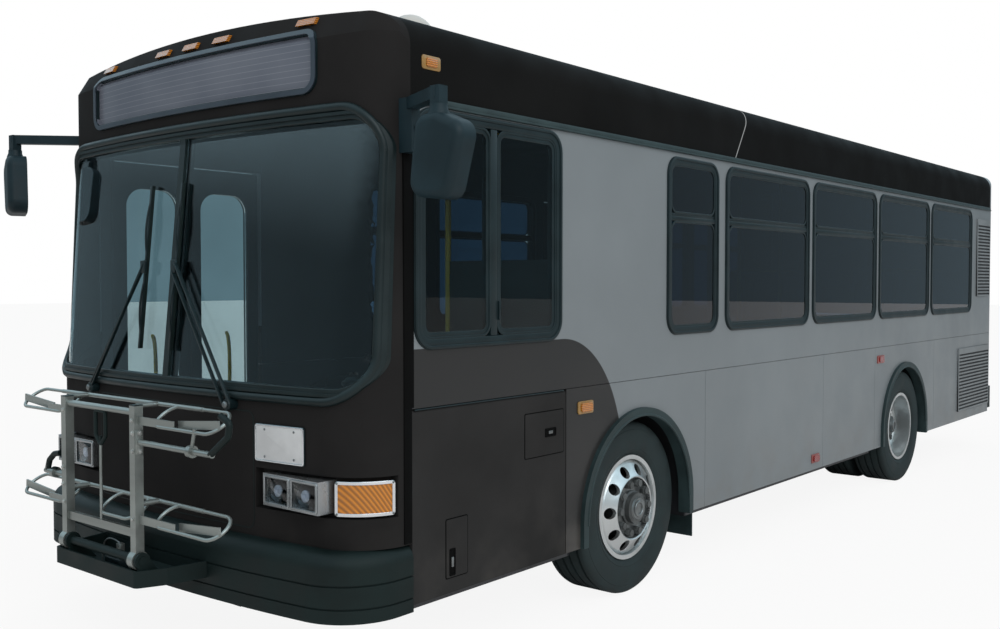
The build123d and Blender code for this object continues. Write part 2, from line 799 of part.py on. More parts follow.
def door_leaf(hinge, free):
    """One leaf: slab with a round hinge edge, pins at both ends, and its pane."""
    axis_y = -HALF_WIDTH + LEAF / 2
    z = (SKIRT_Z + BODY_CLEAR, DOOR_TOP_Z - DOOR_GAP)
    x = sorted((hinge, free))
    slab = block(x, (-HALF_WIDTH, -HALF_WIDTH + LEAF), z)
    slab += rod((hinge, axis_y, z[0]), (hinge, axis_y, z[1]), LEAF / 2)
    pin_z = (SKIRT_Z - BODY_CLEAR + FIT, DOOR_TOP_Z - FIT)
    slab += rod((hinge, axis_y, pin_z[0]), (hinge, axis_y, pin_z[1]), DOOR_PIN_R)
    front = -max(hinge, free) + DOOR_STILE
    width = x[1] - x[0] - 2 * DOOR_STILE
    pane_z = (z[0] + 2 * DOOR_STILE, z[1] - 2 * DOOR_STILE)
    through = (-HALF_WIDTH - LEAF, -HALF_WIDTH + 2 * LEAF)
    leaf = slab - side_prism(front, width, pane_z, WINDOW_R, through)
    glass_y = (-HALF_WIDTH + LEAF / 2 - GLASS / 2, -HALF_WIDTH + LEAF / 2 + GLASS / 2)
    inside = (pane_z[0] + FIT, pane_z[1] - FIT)
    pane = side_prism(front + FIT, width - 2 * FIT, inside, WINDOW_R - FIT, glass_y)
    return solids_of(leaf, pane)


def door_hinges(jambs):
    """Hinge line and free edge of the front and rear leaf of one doorway."""
    inset = DOOR_GAP + LEAF / 2
    middle = -(jambs[0] + jambs[1]) / 2
    front = (-jambs[0] - inset, middle + DOOR_GAP / 2)
    rear = (-jambs[1] + inset, middle - DOOR_GAP / 2)
    return front, rear


# Floor, wheel housings and underframe

def floor():
    """Low floor with door sills, riser, steps and the raised rear platform."""
    low = block((-STEP_STATION, 0), (-INNER_Y, INNER_Y), (FLOOR_UNDER, FLOOR_Z))
    low += block((0, NOSE_X / 2), (-NOSE_FLOOR_Y, NOSE_FLOOR_Y), (FLOOR_UNDER, FLOOR_Z))
    for jambs in (FRONT_DOOR, REAR_DOOR):
        sill = (-jambs[1], -jambs[0])
        low += block(sill, (-HALF_WIDTH, -INNER_Y), (FLOOR_UNDER, SKIRT_Z - BODY_CLEAR))
    riser = (-STEP_STATION - PLATFORM_T, -STEP_STATION)
    deck = low + block(riser, (-INNER_Y, INNER_Y), (FLOOR_UNDER, PLATFORM_Z))
    rear_x = (-SIDE_END, -STEP_STATION)
    deck += block(rear_x, (-INNER_Y, INNER_Y), (PLATFORM_UNDER, PLATFORM_Z))
    housings = ((FRONT_AXLE, FRONT_HOUSING_Y), (REAR_AXLE, REAR_HOUSING_Y))
    for axle, inner_y in housings:
        reach = HOUSING_R + HOUSING_WALL
        well = (-axle - reach, -axle + reach)
        cut = block(well, (inner_y - HOUSING_WALL, HALF_WIDTH * 2), (0, ROOF_Z))
        for side in both_sides(cut):
            deck -= side
    return deck


def housing_profile(axle, radius, y, bottom):
    """Half-round wheel housing above its straight legs."""
    solid = wheel_disc(axle, radius, y) + block((-axle - radius, -axle + radius), y, (0, TYRE_R))
    return solid & block((-BODY_LENGTH, 0), y, (bottom, ROOF_Z))


def wheel_housings():
    pieces = []
    table = (
        # axle station, inner wall, bottom of the arch, bottom of the inner wall
        (FRONT_AXLE, FRONT_HOUSING_Y, FLOOR_UNDER, FLOOR_UNDER),
        (REAR_AXLE, REAR_HOUSING_Y, TYRE_R, PLATFORM_UNDER),
    )
    for axle, inner_y, arch_z, wall_z in table:
        outer_r = HOUSING_R + HOUSING_WALL
        shell = housing_profile(axle, outer_r, (inner_y, INNER_Y), arch_z)
        shell -= housing_profile(axle, HOUSING_R, (inner_y - WALL, HALF_WIDTH), arch_z - WALL)
        shell += housing_profile(axle, outer_r, (inner_y - HOUSING_WALL, inner_y), wall_z)
        if axle == FRONT_AXLE:
            spring_x = (-axle - SPRING_R, -axle + SPRING_R)
            shelf_y = (inner_y, inner_y + 2 * SPRING_R)
            shell += block(spring_x, shelf_y, (SPRING_TOP_Z, SPRING_TOP_Z + HOUSING_WALL))
        pieces += both_sides(shell)
    return solids_of(pieces)


def underframe():
    """Two rails with cross members below the low floor, and the higher rails at the rear."""
    half = RAIL_WIDTH / 2
    rail_y = (RAIL_Y - half, RAIL_Y + half)
    rail_z = (FLOOR_UNDER - RAIL_H, FLOOR_UNDER)
    rear_z = (PLATFORM_UNDER - REAR_RAIL_H, PLATFORM_UNDER)
    drop = -STEP_STATION - PLATFORM_T - RAIL_WIDTH
    bars = both_sides(block((drop, 0), rail_y, rail_z))
    bars += both_sides(block((-SIDE_END, drop), rail_y, rear_z))
    bars += both_sides(block((drop, drop + RAIL_WIDTH), rail_y, (rail_z[1], PLATFORM_UNDER)))
    between = (-RAIL_Y + half, RAIL_Y - half)
    pitch = STEP_STATION / CROSS_COUNT
    for index in range(CROSS_COUNT):
        x = -pitch * (index + 0.5)
        if abs(x + FRONT_AXLE) > SPRING_R * 2:
            bars.append(block((x - CROSS_WIDTH, x), between, rail_z))
    bars.append(block((drop, drop + RAIL_WIDTH), between, rail_z))
    lug = block((0, TOW_EYE_X + 2 * TOW_EYE_R), rail_y, rail_z)
    lug -= rod((TOW_EYE_X, RAIL_Y, 0), (TOW_EYE_X, RAIL_Y, FLOOR_Z), TOW_EYE_R)
    return solids_of(bars, both_sides(lug))


# Axles, knuckles and wheels


def front_axle():
    """Dropped beam with a boss for each kingpin and the air springs on it."""
    x = (-FRONT_AXLE - BEAM_HALF, -FRONT_AXLE + BEAM_HALF)
    knee = FRONT_HOUSING_Y + 2 * SPRING_R
    beam = block(x, (-knee, knee), BEAM_Z)
    for side in (1, -1):
        leg_y = sorted((side * knee, side * (knee + BEAM_HALF)))
        beam += block(x, leg_y, (BEAM_Z[0], TYRE_R + BEAM_HALF))
        arm_y = sorted((side * knee, side * KINGPIN_Y))
        beam += block(x, arm_y, (TYRE_R - BEAM_HALF, TYRE_R + BEAM_HALF))
        boss_z = (TYRE_R - BOSS_HALF, TYRE_R + BOSS_HALF)
        kingpin = (-FRONT_AXLE, side * KINGPIN_Y)
        beam += rod((*kingpin, boss_z[0]), (*kingpin, boss_z[1]), BOSS_R)
        beam -= rod((*kingpin, 0), (*kingpin, ROOF_Z), KINGPIN_R + PIN_CLEAR)
        spring_y = side * (FRONT_HOUSING_Y + SPRING_R)
        spring = (-FRONT_AXLE, spring_y)
        beam += rod((*spring, BEAM_Z[1]), (*spring, SPRING_TOP_Z), SPRING_R - BODY_CLEAR)
    return beam


def knuckle(side):
    """Fork round the axle's boss, kingpin, brake plate, spindle and steering arm."""
    y = KINGPIN_Y
    x = -FRONT_AXLE
    ear_low = (TYRE_R - BOSS_HALF - BODY_CLEAR - EAR_H, TYRE_R - BOSS_HALF - BODY_CLEAR)
    ear_high = (TYRE_R + BOSS_HALF + BODY_CLEAR, TYRE_R + BOSS_HALF + BODY_CLEAR + EAR_H)
    back = FRONT_TRACK / 2 - RIM_WIDTH / 2 + DRUM_SET
    plate_y = (back - 3 * BODY_CLEAR, back - BODY_CLEAR)
    body = rod((x, plate_y[0], TYRE_R), (x, plate_y[1], TYRE_R), DRUM_R - BODY_CLEAR)
    web_y = (y + BOSS_R + BODY_CLEAR, plate_y[1])
    body += block((x - BOSS_R, x + BOSS_R), web_y, (ear_low[0], ear_high[1]))
    for z in (ear_low, ear_high):
        body += block((x - BOSS_R, x + BOSS_R), (y, plate_y[1]), z)
        body += rod((x, y, z[0]), (x, y, z[1]), BOSS_R)
    body -= rod((x, y, ear_low[1]), (x, y, ear_high[0]), BOSS_R + BODY_CLEAR)
    body += rod((x, y, ear_low[0]), (x, y, ear_high[1]), KINGPIN_R)
    seat = FRONT_TRACK / 2 + RIM_WIDTH / 2 - FRONT_DISC[-1][1]
    spindle_end = seat + FRONT_BORE_END - SPINDLE_GAP
    body += rod((x, plate_y[0], TYRE_R), (x, spindle_end, TYRE_R), SPINDLE_R)
    arm_z = (ear_low[0], ear_low[1])
    body += block((x - ARM_LENGTH, x), (y - TIE_R, y + TIE_R), arm_z)
    ball = (x - ARM_LENGTH, y)
    body += rod((*ball, TIE_Z + TIE_R + BODY_CLEAR), (*ball, arm_z[1]), TIE_BOSS_R)
    body += rod((*ball, TIE_Z - TIE_R), (*ball, arm_z[0]), TIE_PIN_R)
    return body if side > 0 else mirror(body, about=Plane.XZ)


def tie_rod():
    """Bar between the two steering arms, with an eye round each ball pin."""
    ball_x = -FRONT_AXLE - ARM_LENGTH
    bar = bar_y(ball_x, TIE_Z, (-KINGPIN_Y, KINGPIN_Y), TIE_BAR_R)
    for side in (1, -1):
        pin = (ball_x, side * KINGPIN_Y)
        bar += rod((*pin, TIE_Z - TIE_R), (*pin, TIE_Z + TIE_R), TIE_EYE_R)
        bar -= rod((*pin, 0), (*pin, ROOF_Z), TIE_PIN_R + PIN_CLEAR)
    return bar


def rear_axle():
    """Axle tube with its differential, spindles, air springs and the drive shaft."""
    x = -REAR_AXLE
    inner = INNER_TRACK / 2 - RIM_WIDTH / 2 - 2 * BODY_CLEAR
    axle = bar_y(x, TYRE_R, (-inner, inner), AXLE_TUBE_R)
    axle += Pos(x, 0, TYRE_R) * Sphere(DIFF_R)
    seat = OUTER_TRACK / 2 + RIM_WIDTH / 2 - REAR_DISC[-1][1]
    end = seat + REAR_BORE_END - SPINDLE_GAP
    axle += bar_y(x, TYRE_R, (-end, end), REAR_SPINDLE_R)
    axle += rod((x, 0, TYRE_R), (-ENGINE_STATION, 0, TYRE_R), BOSS_R)
    spring_z = (TYRE_R, PLATFORM_UNDER - REAR_RAIL_H)
    for side in (1, -1):
        spring = (x, side * RAIL_Y)
        axle += rod((*spring, spring_z[0]), (*spring, spring_z[1]), SPRING_R)
    return axle


def ring(station, y, inner, outer):
    """Ring about a wheel's axis between y[0] and y[1]."""
    return wheel_disc(station, outer, y) - wheel_disc(station, inner, y)


def tyre(station, track):
    """Tyre with a flat tread, square shoulders and bulged side walls."""
    half = TYRE_WIDTH / 2
    bead = RIM_WIDTH / 2
    tread = TREAD_WIDTH / 2
    shoulder = TYRE_R - (half - tread) / 2
    seat = RIM_R + FIT
    flank = (seat + TYRE_R) / 2
    over_flange = RIM_R + FLANGE + FIT
    right = [
        # radius, distance from the tyre's middle
        (seat, bead - FIT),
        (over_flange, bead - FIT),
        (flank, half),
        (shoulder, half - FLANGE),
        (TYRE_R, tread),
    ]
    left = [(r, -u) for r, u in reversed(right)]
    outline = make_face(Polyline(*right, *left, close=True))
    solid = revolve(Plane.XY * outline, Axis.Y)
    return Pos(-station, track / 2, TYRE_R) * solid


def rim_barrel(station, track):
    """Rim with a flange at each edge, seen round the tyre's beads."""
    middle = track / 2
    half = RIM_WIDTH / 2
    barrel = ring(station, (middle - half, middle + half), RIM_R - FLANGE, RIM_R)
    for edge in (middle - half - FLANGE, middle + half):
        barrel += ring(station, (edge, edge + FLANGE), RIM_R - FLANGE, RIM_R + FLANGE)
    return barrel


def around(station, count, circle, y, radius):
    """Bars parallel to the axle, evenly spaced on a circle."""
    bars = []
    for index in range(count):
        angle = 2 * pi * index / count
        x = -station + circle * cos(angle)
        z = TYRE_R + circle * sin(angle)
        bars.append(rod((x, y[0], z), (x, y[1], z), radius))
    return bars


def spun(station, outline):
    """Solid made by turning an outline of (radius, y) points about a wheel's axis."""
    face = make_face(Polyline(*outline, close=True))
    return Pos(-station, 0, TYRE_R) * revolve(Plane.XY * face, Axis.Y)


def wheel_disc_shell(station, edge, profile):
    """Pressed disc of even thickness whose outer face follows the profile."""
    outer = [(r, edge - depth) for r, depth in profile]
    inner = [(r, y - DISC_T) for r, y in reversed(outer)]
    disc = spun(station, outer + inner)
    span = (edge - RIM_WIDTH, edge + WALL)
    for hole in around(station, HAND_HOLES, HAND_HOLE_CIRCLE, span, HAND_HOLE_R):
        disc -= hole
    return disc


def hub(station, seat, profile, bore, bore_end, back):
    """Hub with its stepped cap, lug nuts and the drum behind, round a blind bore."""
    steps = [(r, seat + height) for r, height in profile]
    body = spun(station, [(0.0, seat), *steps, (0.0, steps[-1][1])])
    for nut in around(station, LUG_COUNT, LUG_CIRCLE, (seat, seat + LUG_PROUD), LUG_R):
        body += nut
    body += wheel_disc(station, DRUM_R - HAND_HOLE_R, (back, seat))
    return body - wheel_disc(station, bore, (back - WALL, seat + bore_end))


def front_wheel(side):
    """Polished rim, bowed disc with hand holes, lug nuts, hub and brake drum."""
    edge = FRONT_TRACK / 2 + RIM_WIDTH / 2
    back = FRONT_TRACK / 2 - RIM_WIDTH / 2 + DRUM_SET
    wheel = rim_barrel(FRONT_AXLE, FRONT_TRACK)
    wheel += wheel_disc_shell(FRONT_AXLE, edge, FRONT_DISC)
    seat = edge - FRONT_DISC[-1][1]
    wheel += hub(FRONT_AXLE, seat, FRONT_HUB, SPINDLE_R + RUN_CLEAR, FRONT_BORE_END, back)
    return wheel if side > 0 else mirror(wheel, about=Plane.XZ)


def rear_wheel(side):
    """Twin rims on one hub, the outer disc set deep, with the brake drum inside."""
    edge = OUTER_TRACK / 2 + RIM_WIDTH / 2
    back = INNER_TRACK / 2 - RIM_WIDTH / 2
    wheel = rim_barrel(REAR_AXLE, OUTER_TRACK) + rim_barrel(REAR_AXLE, INNER_TRACK)
    join = (INNER_TRACK / 2, OUTER_TRACK / 2)
    wheel += ring(REAR_AXLE, join, RIM_R - FLANGE, RIM_R)
    wheel += wheel_disc_shell(REAR_AXLE, edge, REAR_DISC)
    seat = edge - REAR_DISC[-1][1]
    wheel += hub(REAR_AXLE, seat, REAR_HUB, REAR_SPINDLE_R + RUN_CLEAR, REAR_BORE_END, back)
    return wheel if side > 0 else mirror(wheel, about=Plane.XZ)


def arch_trims():
    """Black flares round the wheel openings and the mud flaps behind the wheels."""
    trims = []
    y = (INNER_Y, HALF_WIDTH + ARCH_PROUD)
    for axle in (FRONT_AXLE, REAR_AXLE):
        flare = ring(axle, y, ARCH_R - ARCH_TRIM, ARCH_R - FIT)
        legs = block((-axle - ARCH_R + FIT, -axle + ARCH_R - FIT), y, (SKIRT_Z, TYRE_R))
        legs -= block((-axle - ARCH_R + ARCH_TRIM, -axle + ARCH_R - ARCH_TRIM), y, (0, TYRE_R))
        upper = flare & block((-axle - ARCH_R, -axle + ARCH_R), y, (TYRE_R, ROOF_Z))
        trims += both_sides(upper + legs)
    flap_x = -FRONT_AXLE - HOUSING_R - HOUSING_WALL - FLAP_SET
    flap = block((flap_x, flap_x + FLAP_T), FLAP_Y, (FLAP_Z, FLOOR_UNDER))
    trims += both_sides(flap)
    return solids_of(trims)


# Bumpers and bike rack

def bumper_face(z, inset):
    half = HALF_WIDTH + FLANGE
    apex = NOSE_X + BUMPER_REACH
    return arch_face(level(z), half, apex, NOSE_BOW_R, BUMPER_CORNER_R, -WALL, inset)


def bumper_solid(inset, z):
    solid = extrude(bumper_face(z[0], inset), z[1] - z[0])
    return solid & block((0, NOSE_X * 2), (-HALF_WIDTH * 2, HALF_WIDTH * 2), z)


def front_bumper():
    z = (BUMPER_Z, MASK_Z)
    bumper = bumper_solid(0.0, z)
    top = bumper.faces().sort_by(Axis.Z)[-1]
    bumper = fillet([edge for edge in top.edges() if edge.center().X > BODY_CLEAR], BUMPER_EDGE_R)
    bumper -= extrude(bumper_face(z[0], BUMPER_T), z[1] - z[0])
    for share in BUMPER_GROOVES:
        middle = z[0] + share * (z[1] - z[0])
        groove_z = (middle - GROOVE_H / 2, middle + GROOVE_H / 2)
        bumper -= bumper_solid(0.0, groove_z) - bumper_solid(GROOVE_DEPTH, groove_z)
    return bumper


def rear_bumper():
    x = (-BODY_LENGTH - REAR_BUMPER_REACH, -SIDE_END)
    bumper = block(x, (-HALF_WIDTH, HALF_WIDTH), (REAR_BUMPER_Z, TAIL_Z))
    corners = bumper.edges().filter_by(Axis.Z).group_by(Axis.X)[0]
    bumper = fillet(corners, TAIL_CORNER_R)
    hollow = (-BODY_LENGTH + WALL, -SIDE_END + WALL)
    return bumper - block(hollow, (-INNER_Y, INNER_Y), (0, ROOF_Z))


def rack_base():
    """Open tray on the bumper with four lugs and the pivot bar."""
    low, high = RACK_BASE_Z
    corners = [(x, -y) for x, y in RACK_BASE_OUTLINE] + [(x, y) for x, y in reversed(RACK_BASE_OUTLINE)]
    outline = make_face(Polyline(*corners, close=True))
    base = extrude(Pos(0, 0, low) * outline, high - low)
    front = [edge for edge in base.edges().filter_by(Axis.Z) if edge.center().X > NOSE_X + BODY_CLEAR]
    base = fillet(front, RACK_BASE_ROUND)
    pocket = offset(outline, -RACK_BASE_WALL)
    base -= extrude(Pos(0, 0, low + RACK_BASE_WALL) * pocket, high - low)
    base -= bumper_solid(0.0, (BUMPER_Z, MASK_Z))
    foot, head = RACK_LUG_FOOT, RACK_LUG_HEAD
    top = RACK_PIVOT_Z + RACK_PIN_R
    wedge = make_face(Polyline((foot[0], low), (foot[1], low), (head[1], top), (head[0], top), close=True))
    reach = RACK_POST / 2 + BODY_CLEAR
    for post in (RACK_POST_Y, -RACK_POST_Y):
        for low in (post - reach - RACK_LUG, post + reach):
            y = (low, low + RACK_LUG)
            base += extrude(Plane.XZ.offset(-y[1]) * wedge, RACK_LUG)
            base += bar_y(RACK_X, RACK_PIVOT_Z, y, RACK_EYE_R - BODY_CLEAR)
    return base + bar_y(RACK_X, RACK_PIVOT_Z, (-RACK_PIN_HALF, RACK_PIN_HALF), RACK_PIN_R)


def slot_loop(y, front_z, back_z):
    """Closed round-ended loop of tube: its front run on the posts, its back run nearer the bus."""
    back_x = RACK_X - RACK_TRAY_DEPTH
    slope = Vector(-RACK_TRAY_DEPTH, 0, back_z - front_z)
    middle = ((RACK_X + back_x) / 2, (y[0] + y[1]) / 2, (front_z + back_z) / 2)
    plane = Plane(origin=middle, x_dir=(0, 1, 0), z_dir=Vector(0, 1, 0).cross(slope))
    radius = slope.length / 2
    reach = (y[1] - y[0]) / 2 - radius
    edges = [
        Line((-reach, -radius), (reach, -radius)),
        ThreePointArc((reach, -radius), (reach + radius, 0), (reach, radius)),
        Line((reach, radius), (-reach, radius)),
        ThreePointArc((-reach, radius), (-reach - radius, 0), (-reach, -radius)),
    ]
    path = plane * Wire(edges)
    start = Plane(origin=path @ 0, z_dir=path % 0)
    return sweep(start * Circle(RACK_GUARD_R), path=path)


def flat_bar(start, end):
    """Flat strip on edge between two points of the same height range."""
    along = Vector(*end) - Vector(*start)
    plane = Plane(origin=(Vector(*start) + Vector(*end)) / 2, x_dir=along, z_dir=Vector(1, 0, 0))
    return plane * Box(along.length, STRIP_H, STRIP_T)


def rack_tray(z):
    """Wheel trays of one bike: back tube, a loop and a bent strip on each side."""
    back_x = RACK_X - RACK_TRAY_DEPTH
    back_z = z + RACK_TRAY_RISE
    front_z = z - SLOT_DROP
    tray = bar_y(back_x, back_z, (-sum(FAR_SLOT) / 2, sum(NEAR_SLOT) / 2), RACK_ROD_R)
    for side, reach, bend_y in ((1, NEAR_SLOT, NEAR_BEND_Y), (-1, FAR_SLOT, FAR_BEND_Y)):
        slot = sorted((side * reach[0], side * reach[1]))
        tray += slot_loop(slot, front_z, back_z)
        bend = (RACK_X, side * bend_y, z)
        tray += flat_bar((RACK_X, side * RACK_POST_Y, z), bend)
        tip = ((RACK_X + back_x) / 2, side * reach[1], (front_z + back_z) / 2)
        tray += flat_bar((RACK_X, side * bend_y, z), tip)
        tray += rod((*bend[:2], z - STRIP_H / 2), (*bend[:2], z + STRIP_H / 2), STRIP_T / 2)
        post = side * RACK_POST_Y
        tray += rod((RACK_X, post, back_z), (back_x, post, back_z), RACK_ROD_R * 1.2)
    return tray


def rack_frame():
    """Two posts on the pivot, cross bars, two trays, hook arms and the release handle."""
    half = RACK_POST / 2
    frame = bar_y(RACK_X, CROSS_TUBE_Z, (-RACK_POST_Y, RACK_POST_Y), CROSS_TUBE_R)
    bar_x = (RACK_X - half / 2, RACK_X + half / 2)
    frame += block(bar_x, (-RACK_POST_Y, RACK_POST_Y), LOW_BAR_Z)
    for post in (RACK_POST_Y, -RACK_POST_Y):
        y = (post - half, post + half)
        frame += block((RACK_X - half, RACK_X + half), y, (RACK_PIVOT_Z, RACK_TOP_Z + RACK_ROD_R * 2))
        frame += bar_y(RACK_X, RACK_PIVOT_Z, y, RACK_EYE_R)
    pin_y = (-RACK_PIN_HALF, RACK_PIN_HALF)
    frame -= bar_y(RACK_X, RACK_PIVOT_Z, pin_y, RACK_PIN_R + PIN_CLEAR)
    for z in RACK_TRAY_Z:
        frame += rack_tray(z)
    low_z = RACK_TRAY_Z[0]
    frame += slot_loop(INNER_SLOT, low_z - SLOT_DROP, low_z + RACK_TRAY_RISE)
    for side, hook, ring in ((1, NEAR_HOOK, NEAR_RING_Y), (-1, FAR_HOOK, FAR_RING_Y)):
        end, z = hook[0]
        frame += bar_y(RACK_X, z, sorted((side * RACK_POST_Y, side * (end + HOOK_R))), HOOK_ARM_R)
        ring_y = sorted((side * ring, side * (ring + HOOK_RING_R)))
        frame += bar_y(RACK_X, z, ring_y, HOOK_RING_R)
        path = [(RACK_X, side * out, high) for out, high in hook]
        frame += tube_path(path, HOOK_R, HOOK_R * 1.5)
    link_y = NEAR_RING_Y + HOOK_RING_R / 2
    link_end = (RACK_X, link_y + HOOK_RING_R, RACK_TRAY_Z[1])
    frame += rod((RACK_X, link_y, NEAR_HOOK[0][1]), link_end, HOOK_LINK_R)
    frame += rod((RACK_X, 0, LOW_BAR_Z[0]), (RACK_X, 0, HANDLE_Z[0]), HANDLE_ROD_R)
    grip = [
        (RACK_X, 0, HANDLE_Z[0] - HANDLE_HALF),
        (RACK_X, HANDLE_HALF, HANDLE_Z[0]),
        (RACK_X, HANDLE_HALF, HANDLE_Z[1]),
        (RACK_X, -HANDLE_HALF, HANDLE_Z[1]),
        (RACK_X, -HANDLE_HALF, HANDLE_Z[0]),
        (RACK_X, 0, HANDLE_Z[0] - HANDLE_HALF),
    ]
    return frame + tube_path(grip, HANDLE_ROD_R * 1.3, HANDLE_HALF / 3)


# Mirrors and wipers


def mirror_head(side, centre_z, centre_x, arm_z, turn):
    """Tapered housing hung from a thick bent arm, on an upright bracket at the mask's corner."""
    corners = [(MIRROR_REACH - inwards, centre_z + high) for inwards, high in MIRROR_OUTLINE]
    outline = make_face(Polyline(*corners, close=True))
    outline = fillet(outline.vertices(), MIRROR_ROUND)
    head = extrude(across(centre_x - MIRROR_DEPTH / 2) * outline, MIRROR_DEPTH)
    front = head.faces().sort_by(Axis.X)[-1]
    head = fillet(front.edges(), MIRROR_EDGE_R)
    half = MIRROR_ARM / 2
    hang_y = MIRROR_REACH - MIRROR_HANG
    head = Pos(centre_x, hang_y, 0) * Rot(0, 0, turn) * (Pos(-centre_x, -hang_y, 0) * head)
    root = Vector(*MIRROR_FOOT, arm_z)
    tip = Vector(centre_x, hang_y, arm_z)
    along = tip - root
    place = Plane(origin=(root + tip) / 2, x_dir=along, z_dir=(0, 0, 1))
    arm = place * Box(along.length + half, MIRROR_ARM, MIRROR_ARM)
    drop_x = (centre_x - half, centre_x + half)
    arm += block(drop_x, (hang_y - half, hang_y + half), (centre_z, arm_z + half))
    bracket_x = (MIRROR_FOOT[0] - half, MIRROR_FOOT[0] + half)
    bracket_y = (HALF_WIDTH - ROOF_CORNER_R, MIRROR_FOOT[1] + half)
    bracket_z = (arm_z - BRACKET_DROP, arm_z + half)
    bracket = block(bracket_x, bracket_y, bracket_z) - mask_body(0.0)
    whole = head + arm + bracket
    return whole if side > 0 else mirror(whole, about=Plane.XZ)


def screen_x(y, z):
    """Where the outer face of the nose lies at a width and height."""
    rake = min(max((z - RAKE_START_Z) / (RAKE_END_Z - RAKE_START_Z), 0.0), 1.0)
    return NOSE_X - NOSE_BOW_R + sqrt(NOSE_BOW_R**2 - y**2) - rake * RAKE_BACK


def wipers():
    found = []
    for pivot_y, blade_y in WIPERS:
        middle_z = sum(WIPER_BLADE_Z) / 2
        pivot = (screen_x(pivot_y, WIPER_PIVOT_Z) + WIPER_STAND, pivot_y, WIPER_PIVOT_Z)
        middle, low, high = [
            (screen_x(blade_y, z) + BLADE_STAND, blade_y, z) for z in (middle_z, *WIPER_BLADE_Z)
        ]
        boss_x = (pivot[0] - 2 * WALL, pivot[0] + WIPER_R)
        boss = rod((boss_x[0], *pivot[1:]), (boss_x[1], *pivot[1:]), WIPER_BOSS_R)
        arm = rod(pivot, middle, WIPER_ARM_R)
        found.append(boss - mask_body(0.0) + arm + rod(low, high, WIPER_R))
    return solids_of(found)


# Inside

def dashboard():
    """Dash across the driver's place with the steering column on it."""
    side = [
        (DASH_BACK[0], FLOOR_Z),
        (DASH_BACK[1], DASH_LIP_Z),
        (DASH_CREST_X, DASH_TOP_Z),
        (DASH_FRONT, DASH_TOP_Z - DASH_T),
        (DASH_FRONT, FLOOR_Z),
    ]
    outline = Plane.XZ * make_face(Polyline(*side, close=True))
    dash = Pos(0, DASH_Y[0], 0) * extrude(outline, DASH_Y[0] - DASH_Y[1])
    below = (Align.CENTER, Align.CENTER, Align.MAX)
    above = (Align.CENTER, Align.CENTER, Align.MIN)
    column = column_place() * Cylinder(COLUMN_R, COLUMN_LENGTH, align=below)
    pin = column_place() * Cylinder(COLUMN_R / 2, COLUMN_PIN, align=above)
    return dash + column + pin


def column_place():
    """Plane at the top of the steering column, its normal towards the driver."""
    lean = COLUMN_TILT * pi / 180
    return Plane(origin=COLUMN_TOP, x_dir=(0, 1, 0), z_dir=(-sin(lean), 0, cos(lean)))


def steering_wheel():
    """Ring with three spokes and a hub on the column's pin."""
    rim = Torus(WHEEL_RIM_R, WHEEL_RIM_TUBE)
    wheel = rim + Cylinder(WHEEL_HUB_R, COLUMN_R)
    for index in range(SPOKE_COUNT):
        spoke = Pos(WHEEL_RIM_R / 2, 0, 0) * Box(WHEEL_RIM_R, COLUMN_R, WHEEL_RIM_TUBE)
        wheel += Rot(0, 0, 360 / SPOKE_COUNT * index) * spoke
    bore = Cylinder(COLUMN_R / 2 + PIN_CLEAR, 4 * COLUMN_R)
    lifted = Pos(0, 0, COLUMN_R / 2 + FIT) * (wheel - bore)
    return column_place() * lifted


def seat_shell(station, y, width, floor_z):
    """Seat with its back and a pedestal to the floor."""
    low = floor_z + SEAT_HEIGHT
    x = -station
    shell = block((x - SEAT_DEPTH, x), (y - width / 2, y + width / 2), (low - SEAT_SHELL, low))
    back = (x - SEAT_DEPTH - SEAT_SHELL, x - SEAT_DEPTH)
    shell += block(back, (y - width / 2, y + width / 2), (low - SEAT_SHELL, low + SEAT_BACK))
    leg = (x - SEAT_DEPTH * 0.75, x - SEAT_DEPTH * 0.25)
    return shell + block(leg, (y - width / 6, y + width / 6), (floor_z, low - SEAT_SHELL))


def passenger_seats():
    seats = []
    y = INNER_Y - SEAT_WIDTH / 2 - BODY_CLEAR
    for row in range(LEFT_ROWS):
        seats.append(seat_shell(LOW_ROW_STATION + row * SEAT_PITCH, y, SEAT_WIDTH, FLOOR_Z))
    for row in range(CURB_ROWS):
        seats.append(seat_shell(LOW_ROW_STATION + row * SEAT_PITCH, -y, SEAT_WIDTH, FLOOR_Z))
    for row in range(HIGH_ROWS):
        station = HIGH_ROW_STATION + row * SEAT_PITCH
        seats += both_sides(seat_shell(station, y, SEAT_WIDTH, PLATFORM_Z))
    return solids_of(seats)


def driver_seat():
    return seat_shell(DRIVER_SEAT_STATION, SEAT_Y, DRIVER_SEAT_WIDTH, FLOOR_Z)


def driver_barrier():
    """Panel behind the driver, on the floor ahead of the wheel housing."""
    x = (-BARRIER_STATION - BARRIER_T - 2 * WALL, -BARRIER_STATION - 2 * WALL)
    panel = block(x, (POLE_Y + POLE_R + FIT, INNER_Y), (FLOOR_Z, BARRIER_TOP_Z))
    well_r = HOUSING_R + HOUSING_WALL + FIT
    well_y = (FRONT_HOUSING_Y - HOUSING_WALL - FIT, HALF_WIDTH)
    return panel - housing_profile(FRONT_AXLE, well_r, well_y, 0)


def grab_rails():
    """Poles from the floor to the ceiling."""
    bow_r = ROOF_BOW_R - ROOF_WALL
    edge = POLE_Y + POLE_R
    top = ROOF_Z - ROOF_BOW_R + sqrt(bow_r**2 - edge**2) - FIT
    poles = []
    for station, side, floor_z in POLES:
        place = (-station, side * POLE_Y)
        poles.append(rod((*place, floor_z), (*place, top), POLE_R))
    return solids_of(poles)


def engine():
    """Engine and gearbox as one block between the rear rails."""
    half = RAIL_Y - RAIL_WIDTH / 2
    return block((-ENGINE_STATION - ENGINE_LENGTH, -ENGINE_STATION), (-half, half), ENGINE_Z)


